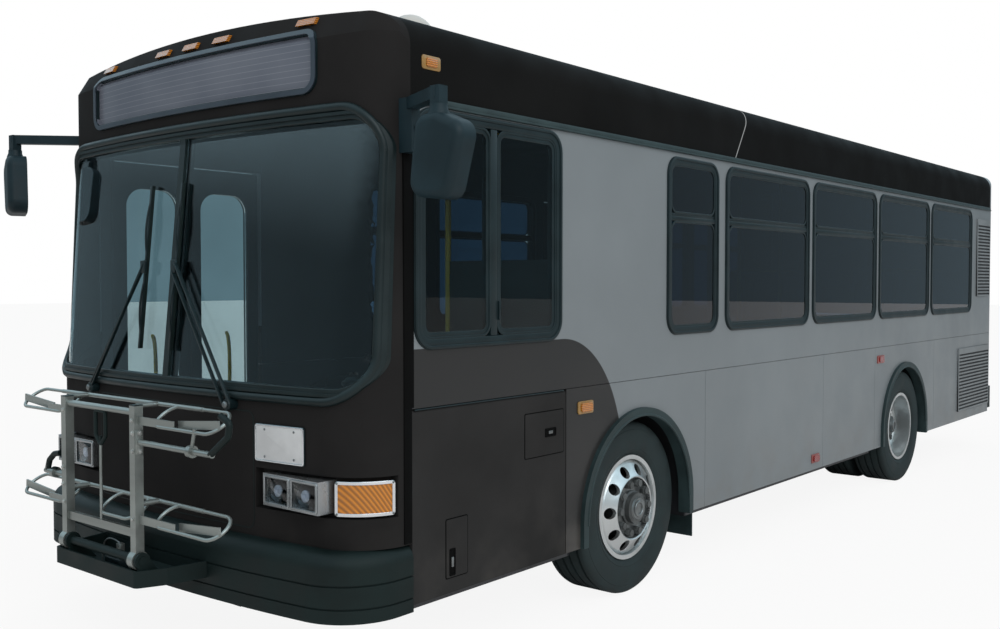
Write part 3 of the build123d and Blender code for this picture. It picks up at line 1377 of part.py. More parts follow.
def louvre(station, z):
    """Framed panel of level slats laid on the side wall."""
    y = (HALF_WIDTH, HALF_WIDTH + GRILLE_T)
    panel = block((-station[1], -station[0]), y, z)
    inner = (-station[1] + GRILLE_RIM, -station[0] - GRILLE_RIM)
    low = z[0] + GRILLE_RIM
    count = int((z[1] - z[0] - 2 * GRILLE_RIM) / SLAT_PITCH)
    for index in range(count):
        gap = (low + index * SLAT_PITCH, low + index * SLAT_PITCH + SLAT_PITCH - SLAT_T)
        panel -= block(inner, (HALF_WIDTH + GRILLE_T / 3, HALF_WIDTH + WALL), gap)
    return panel


def grilles():
    """Radiator grille and air inlet on the driver's side, and the inlet's twin on the curb side."""
    vent = louvre(VENT_STATION, VENT_Z)
    return solids_of(louvre(RADIATOR_STATION, RADIATOR_Z), both_sides(vent))


def roof_dome():
    """Low aerial dome near the front of the roof."""
    bow = ROOF_Z - ROOF_BOW_R + sqrt(ROOF_BOW_R**2 - DOME_PLACE[1] ** 2)
    dome = Pos(*DOME_PLACE, bow - DOME_SUNK) * Sphere(DOME_R)
    return dome - extrude(roof_section(-SIDE_END, 0.0, 0.0), SIDE_END)


def build():
    """All sub-parts by name, in the stations' frame."""
    rubber, panes = windshield()
    left_frames, left_panes = window_set(False)
    right_frames, right_panes = window_set(True)
    nodes = {
        "left_side": left_side(),
        "right_side": right_side(),
        "roof": roof(),
        "front_mask": front_mask(),
        "tail_cap": tail_cap(),
        "windshield_rubber": rubber,
        "windshield_panes": panes,
        "window_frames": solids_of(left_frames, right_frames),
        "window_panes": solids_of(left_panes, right_panes),
        "destination_sign": destination_sign(),
        "headlamps": headlamps(),
        "amber_lamps": amber_lamps(),
        "red_lamps": red_lamps(),
        "floor": floor(),
        "wheel_housings": wheel_housings(),
        "underframe": underframe(),
        "front_bumper": front_bumper(),
        "rear_bumper": rear_bumper(),
        "arch_trims": arch_trims(),
        "grilles": grilles(),
        "roof_dome": roof_dome(),
        "mirrors": solids_of(
            mirror_head(1, LEFT_MIRROR_Z, LEFT_MIRROR_X, LEFT_ARM_Z, 0.0),
            mirror_head(-1, RIGHT_MIRROR_Z, RIGHT_MIRROR_X, RIGHT_ARM_Z, RIGHT_MIRROR_TURN),
        ),
        "wipers": wipers(),
        "dashboard": dashboard(),
        "driver_seat": driver_seat(),
        "driver_barrier": driver_barrier(),
        "passenger_seats": passenger_seats(),
        "grab_rails": grab_rails(),
        "engine": engine(),
        "front_axle": front_axle(),
        "rear_axle": rear_axle(),
        "tie_rod": tie_rod(),
        "steering_wheel": steering_wheel(),
        "rack_base": rack_base(),
        "rack_frame": rack_frame(),
        "engine_door": engine_door(),
        "service_door": service_door(),
    }
    for name, side in (("left", 1), ("right", -1)):
        nodes["knuckle_" + name] = knuckle(side)
        nodes["front_wheel_" + name] = front_wheel(side)
        nodes["front_tyre_" + name] = tyre(FRONT_AXLE, side * FRONT_TRACK)
        nodes["rear_wheel_" + name] = rear_wheel(side)
        nodes["rear_tyres_" + name] = solids_of(
            tyre(REAR_AXLE, side * OUTER_TRACK), tyre(REAR_AXLE, side * INNER_TRACK)
        )
    for name, jambs in (("front", FRONT_DOOR), ("rear", REAR_DOOR)):
        ahead, behind = door_hinges(jambs)
        nodes[name + "_door_leaf_a"] = door_leaf(*ahead)
        nodes[name + "_door_leaf_b"] = door_leaf(*behind)
    return nodes


def main():
    os.makedirs("parts", exist_ok=True)
    to_origin = Pos(-ORIGIN_X, 0, 0)
    for name, shape in build().items():
        export_step(to_origin * shape, "parts/" + name + ".step")


if __name__ == "__main__":
    main()
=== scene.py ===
# %% [markdown]
# A low-floor city bus, dressed around its fixed frame. The frame brings every real part at its real
# place in metres: +X is forward, +Y the driver's side, +Z up. This lesson adds what a maker would
# finish by hand, such as tyres, lamps and rubber, and gives every surface a finish.

# %% Load the frame
import math

import bpy
from mathutils import Matrix, Vector


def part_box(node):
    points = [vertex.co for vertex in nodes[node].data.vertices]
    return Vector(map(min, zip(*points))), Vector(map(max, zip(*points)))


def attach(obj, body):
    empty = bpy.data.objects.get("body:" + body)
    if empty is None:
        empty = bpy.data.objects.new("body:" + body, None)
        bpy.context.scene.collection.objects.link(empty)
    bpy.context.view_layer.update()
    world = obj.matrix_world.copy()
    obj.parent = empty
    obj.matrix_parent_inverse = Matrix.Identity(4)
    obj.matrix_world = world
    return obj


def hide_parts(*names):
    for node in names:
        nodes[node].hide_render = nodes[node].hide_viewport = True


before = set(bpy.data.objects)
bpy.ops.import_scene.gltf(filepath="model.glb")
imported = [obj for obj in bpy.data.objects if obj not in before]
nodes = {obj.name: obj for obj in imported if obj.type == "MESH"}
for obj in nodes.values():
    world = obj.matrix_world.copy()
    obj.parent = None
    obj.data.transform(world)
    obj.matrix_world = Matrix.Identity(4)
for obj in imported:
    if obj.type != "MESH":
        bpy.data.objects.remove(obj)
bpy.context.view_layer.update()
scene = bpy.context.scene

# %% [markdown]
# The camera stands ahead of the driver's corner at eye height, with its place and its turn fitted to
# the photograph. Stations are counted rearwards from the line where the front mask meets the side
# walls, as a coach builder would.

# %% Camera
CORNER_X = 4.1815
CAMERA_PLACE = Vector((7.3815, 4.4531, 1.7792))
YAW = math.radians(39.7386)
PITCH = math.radians(-1.7842)
SENSOR = 36.0
FOCAL = 37.512


def at(station):
    """Place along X of a station behind the front corner line."""
    return CORNER_X - station


camera_data = bpy.data.cameras.new("photo_camera")
camera_data.sensor_width = SENSOR
camera_data.lens = FOCAL
camera = bpy.data.objects.new("photo_camera", camera_data)
scene.collection.objects.link(camera)
level = math.cos(PITCH)
look = Vector((-math.cos(YAW) * level, -math.sin(YAW) * level, math.sin(PITCH)))
camera.location = CAMERA_PLACE
camera.rotation_euler = look.to_track_quat("-Z", "Y").to_euler()
scene.camera = camera
print("camera at", tuple(round(v, 3) for v in CAMERA_PLACE))

# %% [markdown]
# Every finish is a small tree of nodes. These helpers hold the parts that return: a grain of noise in
# the object's own metres, a blend of two colours, a sum, and a bump. Object coordinates are used
# throughout, because every piece keeps its place in its mesh, so a grain stays still on it.

# %% Node helpers
UNIT = (1.0, 1.0, 1.0)


def new_finish(name, **sockets):
    """A material with its main shader, and the shader's plain values set on its own sockets."""
    made = bpy.data.materials.new(name)
    made.use_nodes = True
    tree = made.node_tree
    shader = tree.nodes["Principled BSDF"]
    for label, value in sockets.items():
        shader.inputs[label.replace("_", " ")].default_value = value
    return made, tree, shader


def put(tree, kind, values=(), **settings):
    """A node with its settings; values are numbers, colours or sockets for its inputs."""
    node = tree.nodes.new(kind)
    for label, value in settings.items():
        setattr(node, label, value)
    for place, value in dict(values).items():
        if isinstance(value, bpy.types.NodeSocket):
            tree.links.new(value, node.inputs[place])
        else:
            node.inputs[place].default_value = value
    return node


def metres(tree, stretch=UNIT):
    """The object's own coordinates, stretched."""
    coords = put(tree, "ShaderNodeTexCoord").outputs["Object"]
    if stretch == UNIT:
        return coords
    return put(tree, "ShaderNodeMapping", {"Vector": coords, "Scale": stretch}).outputs["Vector"]


def grain(tree, scale, detail, stretch=UNIT):
    """Noise at so many lumps to the metre."""
    values = {"Vector": metres(tree, stretch), "Scale": scale, "Detail": detail}
    return put(tree, "ShaderNodeTexNoise", values).outputs["Fac"]


def waves(tree, direction, scale, stretch=UNIT):
    """Even ribs across one direction."""
    values = {"Vector": metres(tree, stretch), "Scale": scale, "Distortion": 0.0}
    kinds = {"wave_type": "BANDS", "bands_direction": direction}
    return put(tree, "ShaderNodeTexWave", values, **kinds).outputs["Fac"]


def sums(tree, kind, first, second=0.0, third=None):
    """One step of arithmetic."""
    values = {0: first, 1: second}
    if third is not None:
        values[2] = third
    return put(tree, "ShaderNodeMath", values, operation=kind).outputs[0]


def between(tree, value, low, high, to_low=0.0, to_high=1.0):
    """Value moved smoothly from one range to another."""
    values = {"Value": value, "From Min": low, "From Max": high, "To Min": to_low, "To Max": to_high}
    return put(tree, "ShaderNodeMapRange", values, interpolation_type="SMOOTHSTEP").outputs["Result"]


def wander(tree, lumps, detail, low=0.0, high=1.0):
    """A value that wanders over the surface from low to high."""
    return between(tree, grain(tree, lumps, detail), 0.3, 0.7, low, high)


def shade(colour, share):
    """A colour made darker or lighter."""
    return tuple(min(channel * share, 1.0) for channel in colour)


def colours(tree, share, first, second):
    """Blend of two colours or colour sockets."""
    values = {0: share, 6: first, 7: second}
    for place in (6, 7):
        if not isinstance(values[place], bpy.types.NodeSocket):
            values[place] = (*values[place], 1.0)
    return put(tree, "ShaderNodeMix", values, data_type="RGBA").outputs[2]


def surface(tree, shader, colour, rough):
    """Link a colour and a roughness to the main shader."""
    tree.links.new(colour, shader.inputs["Base Color"])
    tree.links.new(rough, shader.inputs["Roughness"])


def bumps(tree, shader, height, distance, strength):
    """Bump from a height socket, so many metres deep."""
    values = {"Height": height, "Distance": distance, "Strength": strength}
    tree.links.new(put(tree, "ShaderNodeBump", values).outputs["Normal"], shader.inputs["Normal"])


def axes(tree):
    """The object's station and height as two sockets."""
    places = put(tree, "ShaderNodeSeparateXYZ", {0: metres(tree)}).outputs
    return sums(tree, "SUBTRACT", CORNER_X, places[0]), places[2]


print("node helpers ready")

# %% [markdown]
# Most surfaces need the same three things: a colour that wanders a little, a gloss that wanders with
# wear, and a fine grain. One function makes them, with the scale of the grain chosen for each stuff:
# coarse for cast metal, fine for moulded plastic, long and thin for brushed metal.

# %% Plain finishes
finishes = {}


def plain(key, name, colour, rough, vary, lumps, fine, depth,
          stretch=UNIT, sheen=0.5, metal=0.0, coat=0.0):
    """Keep a finish with wandering colour and gloss and a fine grain under its key."""
    made, tree, shader = new_finish(name, Specular_IOR_Level=sheen, Metallic=metal, Coat_Weight=coat)
    patches = grain(tree, lumps, 4.0, stretch)
    share = between(tree, patches, 0.3, 0.7)
    tone = colours(tree, share, shade(colour, 1.0 - vary), shade(colour, 1.0 + vary))
    surface(tree, shader, tone, between(tree, patches, 0.25, 0.75, rough * 0.85, min(rough * 1.18, 1.0)))
    bumps(tree, shader, grain(tree, fine, 2.0, stretch), depth, 0.35)
    finishes[key] = made


BRUSHED = (1.0, 0.04, 1.0)
plain("rubber", "moulded_rubber", (0.0062, 0.0135, 0.013), 0.55, 0.2, 5.0, 420.0, 0.0004, sheen=0.2)
plain("gasket", "glazing_rubber", (0.0060, 0.0140, 0.0150), 0.42, 0.18, 6.0, 300.0, 0.0002, sheen=0.3)
plain("arch", "arch_rubber", (0.021, 0.038, 0.040), 0.5, 0.2, 7.0, 340.0, 0.0004, sheen=0.3)
plain("trim", "dark_trim", (0.0060, 0.0150, 0.0175), 0.4, 0.2, 6.0, 500.0, 0.0002, sheen=0.3)
plain("mirror_shell", "mirror_plastic", (0.009, 0.022, 0.028), 0.5, 0.2, 5.0, 900.0, 0.0003, sheen=0.2)
plain("chassis", "chassis_paint", (0.013, 0.013, 0.014), 0.6, 0.35, 6.0, 120.0, 0.0008)
plain("housing", "wheel_well", (0.008, 0.009, 0.012), 0.8, 0.4, 4.0, 80.0, 0.0015)
plain("pale", "pale_plastic", (0.56, 0.56, 0.53), 0.45, 0.07, 8.0, 300.0, 0.0002)
plain("dash", "grained_plastic", (0.012, 0.017, 0.018), 0.55, 0.2, 6.0, 620.0, 0.0006)
plain("shell_plastic", "seat_shell", (0.035, 0.055, 0.095), 0.4, 0.12, 5.0, 520.0, 0.0003)
plain("floor_sheet", "floor_sheet", (0.045, 0.046, 0.05), 0.55, 0.3, 5.0, 900.0, 0.0006)
plain("yellow", "yellow_coat", (0.62, 0.36, 0.03), 0.35, 0.08, 7.0, 320.0, 0.0002)
plain("rack", "rack_metal", (0.27, 0.29, 0.275), 0.36, 0.2, 7.0, 900.0, 0.0003, BRUSHED, metal=0.75)
plain("chrome", "bright_metal", (0.72, 0.74, 0.76), 0.14, 0.08, 6.0, 240.0, 0.0001, metal=1.0)
plain("steel", "dull_steel", (0.20, 0.21, 0.21), 0.42, 0.25, 14.0, 300.0, 0.0005, metal=0.8)
plain("hub", "hub_paint", (0.085, 0.092, 0.092), 0.5, 0.3, 11.0, 220.0, 0.0008, metal=0.3)
plain("tyre", "tyre_rubber", (0.0165, 0.0265, 0.0275), 0.7, 0.25, 8.0, 380.0, 0.0007, sheen=0.3)
plain("engine_paint", "engine_paint", (0.05, 0.06, 0.06), 0.55, 0.3, 5.0, 60.0, 0.002)
print("plain finishes", len(finishes))

# %% [markdown]
# The side walls are grey above and black low at the front. Painters mask that border with a curve, so
# the shader draws it too: a quarter ellipse in stations and heights. Road dust gathers towards the
# skirt, so the lower edge gets a thin, uneven film of it.

# %% Side wall paint
GREY = (0.196, 0.222, 0.236)
BLACK = (0.0260, 0.0260, 0.0260)
DUST = (0.17, 0.16, 0.145)
CURVE_CENTRE = (1.10, 0.75)
CURVE_REACH = (0.565, 0.738)
DUST_LOW = 0.36


def dusty(tree, colour, height, high, most):
    """Colour with a film of road dust that thins out upwards."""
    patches = between(tree, grain(tree, 5.0, 6.0), 0.35, 0.75)
    film = sums(tree, "MULTIPLY", between(tree, height, high, DUST_LOW, 0.0, most), patches)
    return colours(tree, film, colour, DUST)


def side_paint():
    """Grey paint with its black corner and its dust."""
    made, tree, shader = new_finish(
        "side_paint", Specular_IOR_Level=0.22, Coat_Weight=0.06, Coat_Roughness=0.2,
    )
    station, height = axes(tree)
    reaches = []
    for value, centre, reach in zip((station, height), CURVE_CENTRE, CURVE_REACH):
        ahead = sums(tree, "MAXIMUM", sums(tree, "SUBTRACT", value, centre), 0.0)
        reaches.append(sums(tree, "POWER", sums(tree, "DIVIDE", ahead, reach), 2.0))
    inside = between(tree, sums(tree, "ADD", *reaches), 1.004, 0.996)
    grey = colours(tree, wander(tree, 1.1, 5.0), shade(GREY, 0.94), shade(GREY, 1.05))
    tone = dusty(tree, colours(tree, inside, grey, BLACK), height, 0.95, 0.3)
    surface(tree, shader, tone, wander(tree, 3.0, 6.0, 0.3, 0.44))
    bumps(tree, shader, grain(tree, 2.2, 2.0), 0.004, 0.18)
    return made


finishes["side_paint"] = side_paint()
print("side paint made")

# %% [markdown]
# The roof band is black in two shades, parted by a thin pale line that leans back as it rises. The
# mask is one satin black. Both keep a low gloss, because a deep black paint in soft light shows its
# reflections more than its colour.

# %% Black paints
LINE_FOOT = (2.977, 2.568)
LINE_TOP = (3.194, 2.918)
LINE_HALF = 0.007
LINE_SOFT = 0.004
REAR_SHADE = 0.93
PALE_LINE = (0.32, 0.33, 0.33)


def black_paint(name, black, with_line=False):
    """Keep a satin black from a shade of its own, with the roof band's line or with dust."""
    made, tree, shader = new_finish(name, Specular_IOR_Level=0.02)
    station, height = axes(tree)
    tone = colours(tree, wander(tree, 1.6, 5.0), shade(black, 0.85), shade(black, 1.15))
    if with_line:
        above = sums(tree, "SUBTRACT", height, LINE_FOOT[1])
        rise = sums(tree, "DIVIDE", above, LINE_TOP[1] - LINE_FOOT[1])
        line = sums(tree, "MULTIPLY_ADD", rise, LINE_TOP[0] - LINE_FOOT[0], LINE_FOOT[0])
        past = sums(tree, "SUBTRACT", station, line)
        rear = between(tree, past, -LINE_SOFT, LINE_SOFT)
        tone = colours(tree, rear, tone, shade(black, REAR_SHADE))
        near = between(tree, sums(tree, "ABSOLUTE", past), LINE_HALF, LINE_HALF * 0.6)
        tone = colours(tree, near, tone, PALE_LINE)
    else:
        tone = dusty(tree, tone, height, 0.9, 0.12)
    surface(tree, shader, tone, wander(tree, 4.0, 6.0, 0.55, 0.70))
    bumps(tree, shader, grain(tree, 2.4, 2.0), 0.003, 0.15)
    finishes[name] = made


black_paint("roof_paint", (0.0086, 0.0087, 0.0086), True)
black_paint("mask_paint", (0.0190, 0.0185, 0.0185))
black_paint("flap_paint", (0.0300, 0.0300, 0.0300))
print("black paints made")

# %% [markdown]
# Glass is a clear or tinted slab that really bends light, with a faint smear so that it isn't
# perfect. Lamp lenses are glossy coloured plastic with moulded ribs, drawn as a wave in the bump;
# the same wave darkens the colour between the ribs as painted shade.
# Polished aluminium is a bright metal with faint turning marks and a little road film.

# %% Glass, lenses and polished metal
def glass(key, name, tint, bend, rough=0.0):
    """Keep a slab of glass that bends light."""
    made, tree, shader = new_finish(name, Transmission_Weight=1.0, IOR=bend)
    smear = between(tree, grain(tree, 2.0, 6.0), 0.35, 0.75)
    tone = colours(tree, smear, tint, shade(tint, 0.9))
    surface(tree, shader, tone, between(tree, smear, 0.0, 1.0, rough, rough * 2.5))
    finishes[key] = made


def lens(key, colour, direction, ribs, stretch=UNIT):
    """Keep a coloured lens with moulded ribs and painted shade between them."""
    made, tree, shader = new_finish(
        key + "_lens", Coat_Weight=0.6, Coat_Roughness=0.06, Specular_IOR_Level=0.5,
    )
    wave = waves(tree, direction, ribs, stretch)
    # Painted shade: the colour falls to 45% between the ribs, following the same wave as the bump.
    tone = colours(tree, wave, shade(colour, 0.45), colour)
    surface(tree, shader, tone, between(tree, wave, 0.0, 1.0, 0.12, 0.25))
    bumps(tree, shader, wave, 0.003, 0.6)
    finishes[key] = made


def polished():
    """Turned aluminium with a little road film."""
    made, tree, shader = new_finish("polished_aluminium", Metallic=0.92)
    film = between(tree, grain(tree, 7.0, 5.0), 0.45, 0.8)
    tone = colours(tree, film, (0.66, 0.68, 0.68), (0.50, 0.51, 0.50))
    surface(tree, shader, tone, between(tree, film, 0.0, 1.0, 0.32, 0.46))
    bumps(tree, shader, grain(tree, 500.0, 2.0, (1.0, 0.05, 1.0)), 0.0002, 0.4)
    return made


glass("windshield", "windshield_glass", (0.60, 0.77, 0.81), 1.50)
glass("tinted", "tinted_glass", (0.050, 0.105, 0.180), 1.50)
glass("clear", "driver_glass", (0.45, 0.60, 0.64), 1.26)
glass("door_glass", "door_glass", (0.82, 0.90, 0.90), 1.26)
glass("lamp_glass", "lamp_glass", (0.92, 0.95, 0.96), 1.45, 0.01)
lens("amber", (0.60, 0.20, 0.008), "Z", 34.0)
lens("red", (0.36, 0.012, 0.010), "Z", 40.0)
lens("signal", (0.64, 0.22, 0.008), "DIAGONAL", 22.0, (-1.6, 0.0, 1.0))
finishes["polished"] = polished()
print("finishes", len(finishes))

# %% [markdown]
# Each part of the frame whose shape is right keeps it and takes its finish here. The list goes by
# finish, because many parts share one: on a real bus, too, most of what is black is one of a few
# rubbers and paints.

# %% Finishes on the frame's own parts
FINISH_OF = {
    "side_paint": "left_side right_side tail_cap engine_door grilles",
    "roof_paint": "roof",
    "mask_paint": "front_mask",
    "flap_paint": "service_door",
    "gasket": "windshield_rubber",
    "windshield": "windshield_panes",
    "tinted": "window_panes",
    "trim": "window_frames destination_sign wipers front_door_leaf_a front_door_leaf_b "
            "rear_door_leaf_a rear_door_leaf_b",
    "chrome": "headlamps",
    "amber": "amber_lamps",
    "red": "red_lamps",
    "floor_sheet": "floor",
    "housing": "wheel_housings",
    "chassis": "underframe front_axle rear_axle tie_rod knuckle_left knuckle_right",
    "rubber": "front_bumper rear_bumper rack_base",
    "arch": "arch_trims",
    "pale": "roof_dome",
    "mirror_shell": "mirrors",
    "dash": "dashboard driver_seat driver_barrier steering_wheel",
    "shell_plastic": "passenger_seats",
    "yellow": "grab_rails",
    "engine_paint": "engine",
    "rack": "rack_frame",
    "polished": "front_wheel_left front_wheel_right rear_wheel_left rear_wheel_right",
    "tyre": "front_tyre_left front_tyre_right rear_tyres_left rear_tyres_right",
}
for finish, names in FINISH_OF.items():
    for name in names.split():
        slots = nodes[name].data.materials
        slots.clear()
        slots.append(finishes[finish])
print("finishes on", sum(len(names.split()) for names in FINISH_OF.values()), "of", len(nodes), "parts")

# %% [markdown]
# Some frame parts are two stuffs in one: a door leaf holds its pane, the sign its face, and the rack
# its rubber grips. A second material slot and a test on each face's middle sorts them. The walls, the
# roof and the mask are painted outside and lined inside, which each face's facing tells.

# %% Second finishes on parts of two stuffs
LEAF_MIDDLE_Y = -1.273
PANE_HALF = 0.0045
DRIVER_END = 1.2
SIGNAL_END = 0.03
SIGNAL_TOP = 1.0


def second_finish(name, finish, wanted):
    """Give another finish to the faces of a frame part whose middle the test wants."""
    mesh = nodes[name].data
    mesh.materials.append(finishes[finish])
    place = len(mesh.materials) - 1
    chosen = [face for face in mesh.polygons if wanted(face.center)]
    for face in chosen:
        face.material_index = place
    print(name, finish, len(chosen), "faces")


def on_rack_grip(p):
    """Hooks and release handle of the bike rack."""
    near_hook = p.y > 0.886 or (p.y > 0.862 and 1.085 < p.z < 1.130)
    far_hook = p.y < -0.355 and 0.874 < p.z < 0.980
    handle = abs(p.y) < 0.056 and 1.028 < p.z < 1.203
    return near_hook or far_hook or handle


for door, finish in (("front", "door_glass"), ("rear", "tinted")):
    for leaf in ("a", "b"):
        second_finish(door + "_door_leaf_" + leaf, finish, lambda p: abs(p.y - LEAF_MIDDLE_Y) < PANE_HALF)
second_finish("window_panes", "clear", lambda p: p.y > 0.0 and p.x > at(DRIVER_END))
second_finish("rack_frame", "rubber", on_rack_grip)
second_finish("amber_lamps", "signal", lambda p: p.x > at(SIGNAL_END) and p.z < SIGNAL_TOP)

# %% [markdown]
# The sign over the windshield is unlit and bare: a dark pane over fine level wires. The wires are a
# wave across the height of which only the crests are kept.

# %% Sign face
SIGN_HALF = 0.893
SIGN_RISE = (2.632, 2.858)
SIGN_ROWS = 11.5


def sign_face():
    """Dark pane over fine level wires."""
    made, tree, shader = new_finish("sign_pane")
    haze = wander(tree, 2.0, 4.0)
    tone = colours(tree, haze, (0.105, 0.117, 0.150), (0.135, 0.147, 0.180))
    wires = between(tree, waves(tree, "Z", SIGN_ROWS), 0.955, 0.995, 0.0, 0.55)
    tone = colours(tree, wires, tone, (0.24, 0.26, 0.30))
    surface(tree, shader, tone, between(tree, haze, 0.0, 1.0, 0.16, 0.24))
    return made


finishes["sign_pane"] = sign_face()
second_finish(
    "destination_sign", "sign_pane",
    lambda p: abs(p.y) < SIGN_HALF and SIGN_RISE[0] < p.z < SIGN_RISE[1],
)

# %% [markdown]
# Inside, the walls, the roof and the mask have a lining painted near black: painted shade of the dim
# cabin. A face belongs to it when it looks inwards: towards the middle of the cabin for walls and
# roof, rearwards for the mask.

# %% Cabin lining in painted shade
CABIN_MIDDLE_Z = 1.60
INWARDS = -0.45
AROUND = (0.0, 1.0)
AHEAD = (1.0, 0.0)
LINED = {"left_side": AROUND, "right_side": AROUND, "roof": AROUND, "front_mask": AHEAD}
# The lining's near-black colour is painted shade of the dim cabin.
plain("lining", "cabin_lining_painted_shade", (0.030, 0.036, 0.040), 0.5, 0.12, 3.0, 420.0, 0.0003)
for name, (along, around) in LINED.items():
    mesh = nodes[name].data
    mesh.materials.append(finishes["lining"])
    count = 0
    for face in mesh.polygons:
        out = Vector((along, around * face.center.y, around * (face.center.z - CABIN_MIDDLE_Z)))
        if face.normal.dot(out.normalized()) < INWARDS:
            face.material_index = len(mesh.materials) - 1
            count += 1
    print(name, "lining", count, "faces")

# %% [markdown]
# The stage is a plain pale floor and a white surround. The surround lights the bus evenly, as an
# overcast sky does, and one broad lamp from the driver's side front gives the forms a little shape.
# Glass and polished metal need something darker to reflect, so for them alone the surround darkens
# near the horizon.

# %% Stage and light
FLOOR_SIZE = 160.0
SEEN_WHITE = 0.90
SURROUND = 0.60
LAMP_PLACE = (7.0, 11.0, 9.0)
LAMP_AIM = Vector((0.0, 0.0, 1.2))

bpy.ops.object.select_all(action="DESELECT")
bpy.ops.mesh.primitive_plane_add(size=FLOOR_SIZE, location=(0.0, 0.0, 0.0))
floor = bpy.context.object
floor.name = "studio_floor"
made, tree, shader = new_finish("studio_floor", Roughness=0.9, Specular_IOR_Level=0.1)
shader.inputs["Base Color"].default_value = (0.9, 0.9, 0.9, 1.0)
path = put(tree, "ShaderNodeLightPath").outputs
white = put(tree, "ShaderNodeEmission", {"Color": (1.0, 1.0, 1.0, 1.0), "Strength": 1.0}).outputs[0]
share = sums(tree, "MULTIPLY", path["Is Camera Ray"], SEEN_WHITE)
blend = put(tree, "ShaderNodeMixShader", {0: share, 1: shader.outputs[0], 2: white}).outputs[0]
tree.links.new(blend, tree.nodes["Material Output"].inputs["Surface"])
floor.data.materials.append(made)

world = bpy.data.worlds.new("studio_surround")
world.use_nodes = True
scene.world = world
tree = world.node_tree
background = tree.nodes["Background"].inputs
path = put(tree, "ShaderNodeLightPath").outputs
seen = sums(tree, "MAXIMUM", path["Is Camera Ray"], path["Is Transmission Ray"])
level = between(tree, seen, 0.0, 1.0, SURROUND, 1.0)
direction = put(tree, "ShaderNodeTexCoord").outputs["Generated"]
height = put(tree, "ShaderNodeSeparateXYZ", {0: direction}).outputs[2]
sky = between(tree, height, 0.16, 0.32, 0.27, 1.2)
turned_dark = sums(tree, "MULTIPLY", path["Is Glossy Ray"], sums(tree, "SUBTRACT", sky, level))
tree.links.new(sums(tree, "ADD", level, turned_dark), background["Strength"])
tint = colours(tree, path["Is Glossy Ray"], (1.0, 1.0, 1.0), (0.66, 0.88, 1.0))
tree.links.new(tint, background["Color"])

lamp_data = bpy.data.lights.new("key_lamp", "AREA")
lamp_data.shape = "RECTANGLE"
lamp_data.size = 12.0
lamp_data.size_y = 8.0
lamp_data.energy = 680.0
lamp = bpy.data.objects.new("key_lamp", lamp_data)
scene.collection.objects.link(lamp)
lamp.location = LAMP_PLACE
lamp.rotation_euler = (LAMP_AIM - lamp.location).to_track_quat("-Z", "Y").to_euler()
scene.view_settings.view_transform = "Standard"
print("stage set")

# %% [markdown]
# New pieces are modelled as by hand: a primitive at its place, shaped in edit mode, then finished with
# modifiers. These helpers keep the steps that every piece needs: nothing selected at the start, edges
# rounded at the end, a finish, and a body to ride on.

# %% Modelling helpers
SMOOTH = math.radians(40.0)
MIRRORED = Matrix.Scale(-1.0, 4, (0.0, 1.0, 0.0))


def clear():
    """Leave edit mode and select nothing."""
    if bpy.context.object and bpy.context.object.mode == "EDIT":
        bpy.ops.object.mode_set(mode="OBJECT")
    bpy.ops.object.select_all(action="DESELECT")


def hold(made):
    """Select one piece alone and make it active."""
    clear()
    made.select_set(True)
    bpy.context.view_layer.objects.active = made
    return made


def edit(made, step=None, **settings):
    """Enter edit mode with all of a mesh selected; with a step, take it and leave again."""
    hold(made)
    bpy.ops.object.mode_set(mode="EDIT")
    bpy.ops.mesh.select_all(action="SELECT")
    if step:
        step(**settings)
        bpy.ops.object.mode_set(mode="OBJECT")


def started(name):
    """The primitive that was just added, under its own name, with its size in its mesh."""
    made = bpy.context.object
    made.name = name
    bpy.ops.object.transform_apply(location=True, rotation=True, scale=True)
    return made


def applied(made, kind, **settings):
    """Add one modifier and apply it."""
    hold(made)
    modifier = made.modifiers.new(kind.lower(), kind)
    for label, value in settings.items():
        setattr(modifier, label, value)
    bpy.ops.object.modifier_apply(modifier=modifier.name)
    return made


def rounded(made, width, segments=2, angle=30.0):
    """Round the edges that are sharper than the angle, and shade the rest smooth."""
    sharp = math.radians(angle)
    applied(made, "BEVEL", width=width, segments=segments, limit_method="ANGLE", angle_limit=sharp)
    bpy.ops.object.shade_smooth_by_angle(angle=SMOOTH)
    return made


def joined(name, shapes):
    """Several shapes as one piece."""
    clear()
    for shape in shapes:
        shape.select_set(True)
    bpy.context.view_layer.objects.active = shapes[0]
    if len(shapes) > 1:
        bpy.ops.object.join()
    shapes[0].name = name
    return shapes[0]


def copied(made, name, change):
    """Copy with a mesh of its own, moved, turned or mirrored by a matrix."""
    other = made.copy()
    other.data = made.data.copy()
    other.name = name
    other.data.transform(change)
    if change.determinant() < 0.0:
        other.data.flip_normals()
    scene.collection.objects.link(other)
    return other


def painted(made, finish):
    """Give a shape one finish all over."""
    made.data.materials.clear()
    made.data.materials.append(finishes[finish])
    return made


def dress(made, body="bus_body", stands_for=()):
    """Put a finished piece on its body and the frame parts that it stands for."""
    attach(made, body)
    if stands_for:
        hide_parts(*stands_for)
    print(made.name, len(made.data.polygons), "faces on", body)
    return made


print("helpers ready")

# %% [markdown]
# Most pieces are several shapes in one. What the bus has on both sides is made for the driver's side
# and mirrored.

# %% A kit of shapes
kit = []


def add(finish, shape):
    kit.append(painted(shape, finish))


def piece(name, body="bus_body", stands_for=()):
    made = joined(name, kit)
    kit.clear()
    dress(made, body, stands_for)


def both(name, wheel=""):
    left = joined(name + "_left", kit)
    kit.clear()
    right = copied(left, name + "_right", MIRRORED)
    for side, made in (("left", left), ("right", right)):
        dress(made, side + wheel if wheel else "bus_body")


print("kit ready")

# %% [markdown]
# Four shapes return all over the bus: a box with soft edges, a flat plate or rim with round corners, a
# shape turned about an axle, and a bent bar. Each starts from a primitive and takes its form in edit
# mode, so that a plate can stand on any side of the bus.

